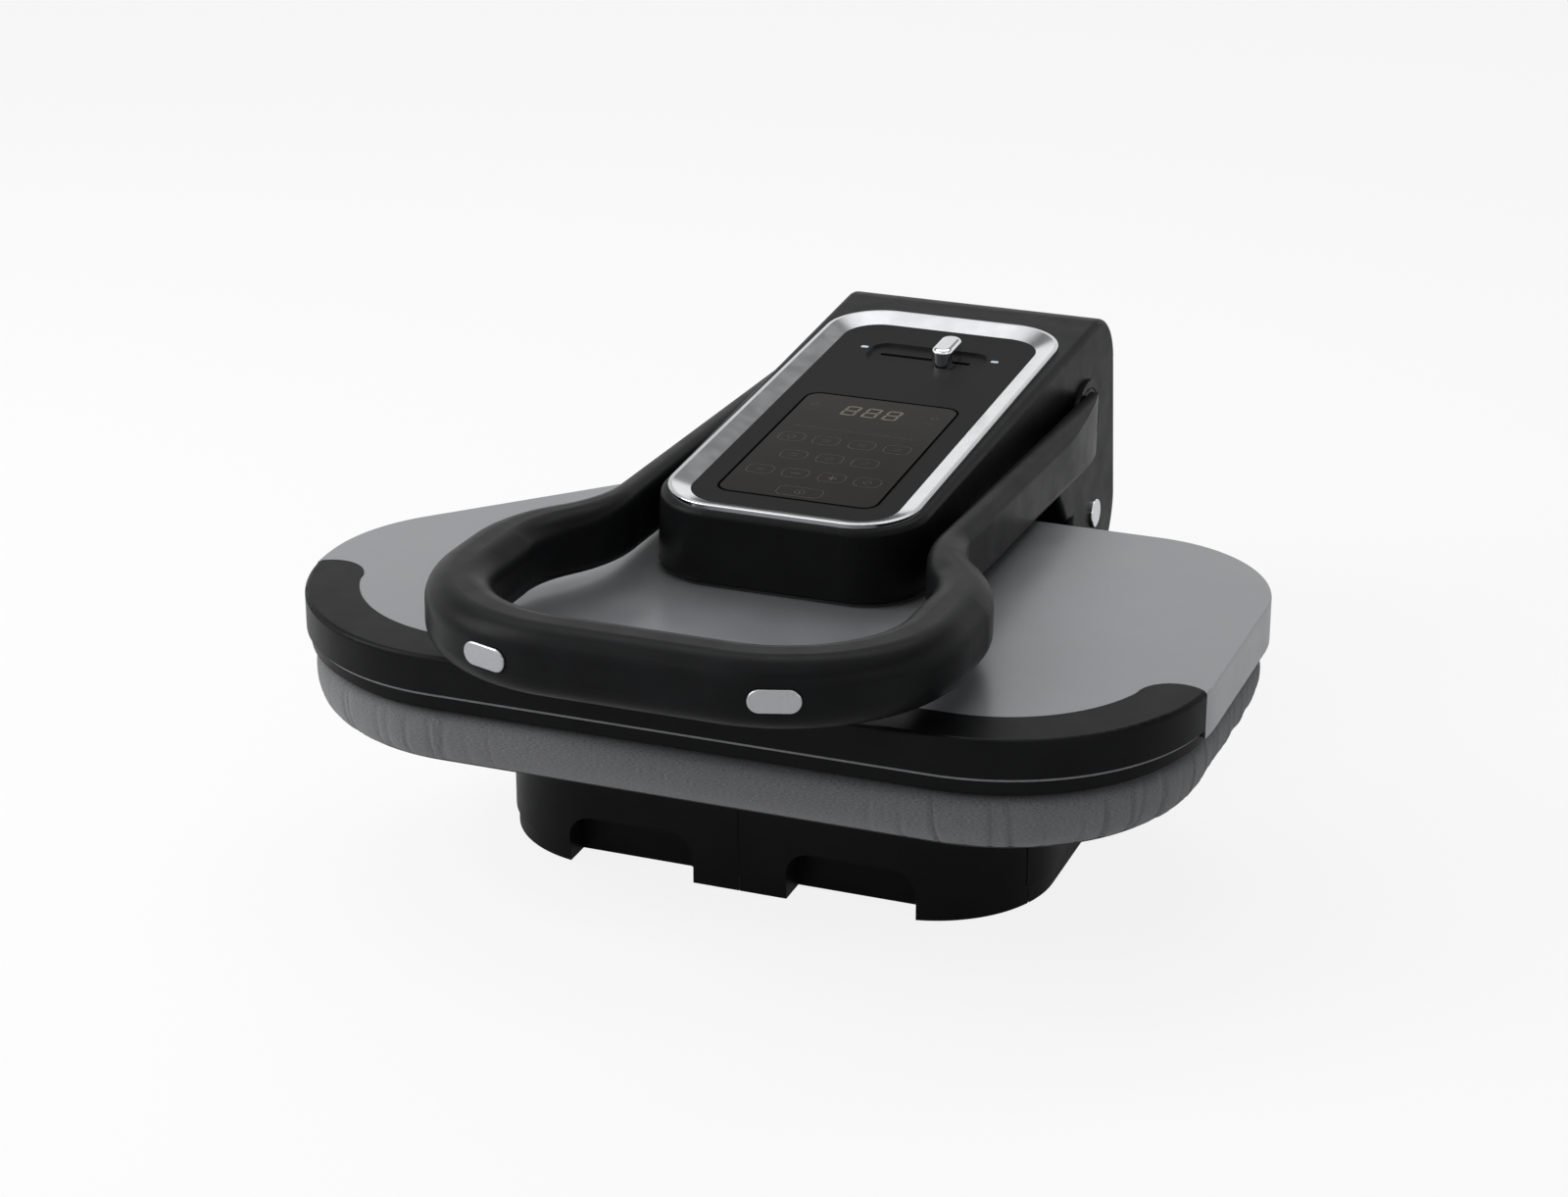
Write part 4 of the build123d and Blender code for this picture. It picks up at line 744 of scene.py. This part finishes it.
def figure_eight(display, x):
    """Seven bars of one figure, on the line through the glass's front edge."""
    width, height = display.digit_width, display.digit_height
    bar = width * BAR_SHARE
    corner = bar * BAR_CORNER_SHARE
    bars = []
    for level in (-1, 0, 1):
        y = level * (height - bar) / 2
        bars.append(flat_plate(width - bar * LEVEL_BAR_CUT_SHARE, bar, x, y, corner))
    for side in (-1, 1):
        for half in (-1, 1):
            y = half * (height - bar * UPRIGHT_BAR_SHIFT_SHARE) / 4
            upright = height / 2 - bar * UPRIGHT_BAR_CUT_SHARE
            bars.append(flat_plate(bar, upright, x + side * (width - bar) / 2, y, corner))
    return bars


def settle_on_glass(pieces, name, display, material):
    """Join flat pieces, give them a film's thickness and lay them on the glass."""
    piece = join(pieces, name)
    film = piece.modifiers.new("Film", "SOLIDIFY")
    film.thickness = display.film
    film.offset = 1.0
    bpy.ops.object.modifier_apply(modifier=film.name)
    lay = glass_face(display)[-1]
    piece.data.transform(lay @ Matrix.Translation((0, 0, display.film_lift)))
    piece.data.materials.clear()
    piece.data.materials.append(material)
    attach(piece, "arm")


def draw_figures(display, finish):
    """Three leaning figures."""
    bars = []
    for place in (-1, 0, 1):
        bars += figure_eight(display, place * display.digit_pitch)
    digits = join(bars, "display_digits")
    lean = Matrix.Identity(4)
    lean[0][1] = math.tan(display.digit_lean)
    digits.data.transform(Matrix.Translation((FIGURES_X, FIGURES_Y, 0)) @ lean)
    # The figures' ink is a painted glow of lit figures
    settle_on_glass([digits], "display_digits", display, dim_ink("display_figures_painted_glow", finish.digits))


def head_marks(display):
    """The rule under the figures and the two marks beside them."""
    stroke = display.stroke
    drawn = [flat_plate(RULE_WIDTH, stroke, 0, RULE_Y)]
    for x in MARKS_X:
        drawn.append(ring_mark(MARK_RADIUS, x, MARK_RING_Y, stroke))
        drawn.append(flat_plate(MARK_BAR_WIDTH, stroke, x, MARK_BAR_Y))
    return drawn


def key_outlines(display):
    """Outlines of the three rows of keys and the long key."""
    drawn = []
    for y, columns in ((UPPER_ROW, OUTER_COLUMNS), (MIDDLE_ROW, INNER_COLUMNS), (LOWER_ROW, OUTER_COLUMNS)):
        for x in columns:
            drawn.append(key_outline(display, display.key_width, x, y))
    drawn.append(key_outline(display, display.long_key_width, 0, LONG_KEY_ROW))
    return drawn


def key_symbols(display):
    """Rings, pairs of lines, a minus, a plus, and the long key's ring and bar."""
    stroke = display.stroke
    first, minus_x, plus_x, last = OUTER_COLUMNS
    drawn = []
    for x, y in ((first, UPPER_ROW), (last, LOWER_ROW)):
        drawn.append(ring_mark(RING_RADIUS, x, y, stroke))
    lined = [(x, UPPER_ROW) for x in OUTER_COLUMNS[1:]]
    lined += [(x, MIDDLE_ROW) for x in INNER_COLUMNS]
    lined.append((first, LOWER_ROW))
    for x, y in lined:
        for shift in (-LINES_SHIFT, LINES_SHIFT):
            drawn.append(flat_plate(LINES_WIDTH, stroke, x, y + shift))
    for x in (minus_x, plus_x):
        drawn.append(flat_plate(SIGN_WIDTH, SIGN_STROKE, x, LOWER_ROW))
    for shift in (-PLUS_ARM_SHIFT, PLUS_ARM_SHIFT):
        drawn.append(flat_plate(SIGN_STROKE, PLUS_ARM, plus_x, LOWER_ROW + shift))
    drawn.append(ring_mark(LONG_RING_RADIUS, 0, LONG_KEY_ROW, stroke))
    drawn.append(flat_plate(SWITCH_BAR_WIDTH, SWITCH_BAR_HEIGHT, 0, LONG_KEY_ROW))
    return drawn


def draw_border(display, finish):
    """The dark border printed just inside the glass's edge."""
    glass_width, glass_length, lay = glass_face(display)
    width, height = glass_width - display.border_inset * 2, glass_length - display.border_inset * 2
    plate = flat_plate(width, height, 0, glass_length / 2, display.border_corner)
    border = keep_rim(plate, display.border_width)
    ink = dim_ink("display_border_ink", scaled(finish.panel, factor=0.2), gloss=0.0)
    settle_on_glass([border], "display_border", display, ink)


class PRESS_OT_display(Operator):
    """Draw the figures and keys of the display"""

    bl_idname = "press.display"
    bl_label = "Display"

    def execute(self, context):
        display = context.scene.press_display
        finish = context.scene.press_finishes
        draw_figures(display, finish)
        drawn = head_marks(display) + key_outlines(display) + key_symbols(display)
        settle_on_glass(drawn, "display_keys", display, dim_ink("display_key_ink", finish.keys))
        draw_border(display, finish)
        return {"FINISHED"}


# Stage
# Share of plain white that the floor and the world show to the camera, directly and mirrored
FLOOR_SEEN, FLOOR_MIRRORED = 0.86, 0.20
WORLD_SEEN, WORLD_MIRRORED = 1.0, 1.0

# Level of the seen world at the sine of a height above the horizon: white, with a grey band to mirror
BACKDROP = ((0.40, 1.0), (0.50, 0.22), (0.64, 0.22), (0.74, 1.0))

# Name, place, size and aim in metres, and power in watts
LAMPS = (
    ("key_lamp", (-1.75, -0.85, 1.5), (1.1, 1.6), (0, -0.1, 0.15), 31),
    ("fill_lamp", (1.9, -1.0, 1.2), (0.9, 1.6), (0, -0.1, 0.15), 3),
    ("top_lamp", (-0.3, 0.7, 1.9), (2.2, 0.9), (0, 0, 0.15), 12),
    ("front_lamp", (-1.0, -2.0, 1.7), (2.0, 0.6), (0, -0.1, 0.12), 7),
)

# The camera's sensor in millimetres, and how far it sees in metres
SENSOR_WIDTH = 36.0
VIEW_DEPTH = 50.0


def seen_share(tree, direct, mirrored):
    """Share of white on a backdrop that the camera sees, directly or mirrored."""
    path = tree.nodes.new("ShaderNodeLightPath")
    shares = {"Is Camera Ray": direct, "Is Glossy Ray": mirrored, "Is Transmission Ray": mirrored}
    last = None
    for ray, share in shares.items():
        part = tree.nodes.new("ShaderNodeMath")
        part.operation = "MULTIPLY_ADD"
        part.inputs[1].default_value = share
        part.inputs[2].default_value = 0.0
        tree.links.new(path.outputs[ray], part.inputs[0])
        if last:
            tree.links.new(last, part.inputs[2])
        last = part.outputs["Value"]
    return last


def blend_seen(tree, share, unseen, seen, output):
    """Show one shader to the camera and mirrors, by a share, and the other to everything else."""
    blend = tree.nodes.new("ShaderNodeMixShader")
    tree.links.new(share, blend.inputs["Fac"])
    tree.links.new(unseen, blend.inputs[1])
    tree.links.new(seen, blend.inputs[2])
    tree.links.new(blend.outputs["Shader"], tree.nodes[output].inputs["Surface"])


def lay_floor(stage):
    """A pale floor that keeps the press's shadow."""
    clear_selection()
    bpy.ops.mesh.primitive_plane_add(size=stage.floor_size, location=(0, 0, 0))
    floor = bpy.context.object
    floor.name = "studio_floor"
    shader = Shader("studio_floor_paint", stage.floor, Roughness=0.9)
    shader.mottle(stage.floor, dark=0.995, light=1.005, size=2.0, detail=2)
    glow = shader.add("ShaderNodeEmission")
    tree = shader.material.node_tree
    blend_seen(tree, seen_share(tree, FLOOR_SEEN, FLOOR_MIRRORED), shader.surface.outputs["BSDF"],
               glow.outputs["Emission"], "Material Output")
    floor.data.materials.append(shader.material)


def surround(stage):
    """A world of soft ambient light, which the camera and mirrors see as a white backdrop."""
    world = bpy.data.worlds.new("studio_world")
    world.use_nodes = True
    tree = world.node_tree
    ambient = tree.nodes["Background"]
    ambient.inputs["Color"].default_value = (*stage.ambient, 1)
    ambient.inputs["Strength"].default_value = stage.ambient_level
    white = tree.nodes.new("ShaderNodeBackground")
    source = tree.nodes.new("ShaderNodeTexCoord")
    height = tree.nodes.new("ShaderNodeSeparateXYZ")
    sweep = tree.nodes.new("ShaderNodeValToRGB")
    stops = sweep.color_ramp.elements
    for place, level in BACKDROP:
        stops.new(place).color = (level, level, level, 1)
    stops.remove(stops[0])  # the black stop at 0 that a new ramp has
    tree.links.new(source.outputs["Generated"], height.inputs["Vector"])
    tree.links.new(height.outputs["Z"], sweep.inputs["Fac"])
    tree.links.new(sweep.outputs["Color"], white.inputs["Color"])
    blend_seen(tree, seen_share(tree, WORLD_SEEN, WORLD_MIRRORED), ambient.outputs["Background"],
               white.outputs["Background"], "World Output")
    bpy.context.scene.world = world


def hang_lamp(name, place, size, aim, power):
    """A soft box that faces the press."""
    lamp = bpy.data.lights.new(name, "AREA")
    lamp.shape = "RECTANGLE"
    lamp.size, lamp.size_y = size
    lamp.energy = power
    holder = bpy.data.objects.new(name, lamp)
    holder.location = place
    holder.rotation_euler = (Vector(aim) - Vector(place)).to_track_quat("-Z", "Y").to_euler()
    bpy.context.scene.collection.objects.link(holder)


def set_camera(stage):
    """The camera where the photograph was taken from."""
    lens = bpy.data.cameras.new("photo_camera")
    lens.sensor_fit = "HORIZONTAL"
    lens.sensor_width = SENSOR_WIDTH
    lens.lens = stage.lens
    lens.clip_end = VIEW_DEPTH
    camera = bpy.data.objects.new("photo_camera", lens)
    level = math.cos(stage.elevation)
    across, back = math.sin(stage.azimuth) * level, -math.cos(stage.azimuth) * level
    away = Vector((across, back, math.sin(stage.elevation)))
    camera.location = Vector(stage.target) + away * stage.distance
    camera.rotation_euler = (-away).to_track_quat("-Z", "Y").to_euler()
    bpy.context.scene.collection.objects.link(camera)
    bpy.context.scene.camera = camera


class PRESS_OT_stage(Operator):
    """Set the floor, lamps and camera"""

    bl_idname = "press.stage"
    bl_label = "Studio"

    def execute(self, context):
        stage = context.scene.press_stage
        lay_floor(stage)
        surround(stage)
        for lamp in LAMPS:
            hang_lamp(*lamp)
        set_camera(stage)
        context.scene.view_settings.view_transform = "Standard"
        return {"FINISHED"}


# Add-on
class PRESS_PT_panel(Panel):
    """Lists the steps and settings in the sidebar"""

    bl_idname = "PRESS_PT_panel"
    bl_label = "Steam press"
    bl_space_type = "VIEW_3D"
    bl_region_type = "UI"
    bl_category = "Press"

    def draw(self, context):
        for operator in OPERATORS:
            self.layout.operator(operator.bl_idname)
        for group in SETTINGS:
            for key in SETTINGS[group].__annotations__:
                self.layout.prop(getattr(context.scene, group), key)


SETTINGS = {
    "press_finishes": PressFinishes,
    "press_cover": PressCover,
    "press_display": PressDisplay,
    "press_stage": PressStage,
}
OPERATORS = (PRESS_OT_finishes, PRESS_OT_cover, PRESS_OT_display, PRESS_OT_stage)


def register():
    """Register the classes and hang the settings on the scene."""
    for group, kind in SETTINGS.items():
        bpy.utils.register_class(kind)
        setattr(bpy.types.Scene, group, PointerProperty(type=kind))
    for kind in (*OPERATORS, PRESS_PT_panel):
        bpy.utils.register_class(kind)


def unregister():
    """Take the classes and settings away again."""
    for kind in (PRESS_PT_panel, *reversed(OPERATORS)):
        bpy.utils.unregister_class(kind)
    for group, kind in reversed(SETTINGS.items()):
        delattr(bpy.types.Scene, group)
        bpy.utils.unregister_class(kind)


def main():
    """Dress the press."""
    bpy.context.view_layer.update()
    register()
    bpy.ops.press.finishes()
    bpy.ops.press.cover()
    bpy.ops.press.display()
    bpy.ops.press.stage()


if __name__ == "__main__":
    main()
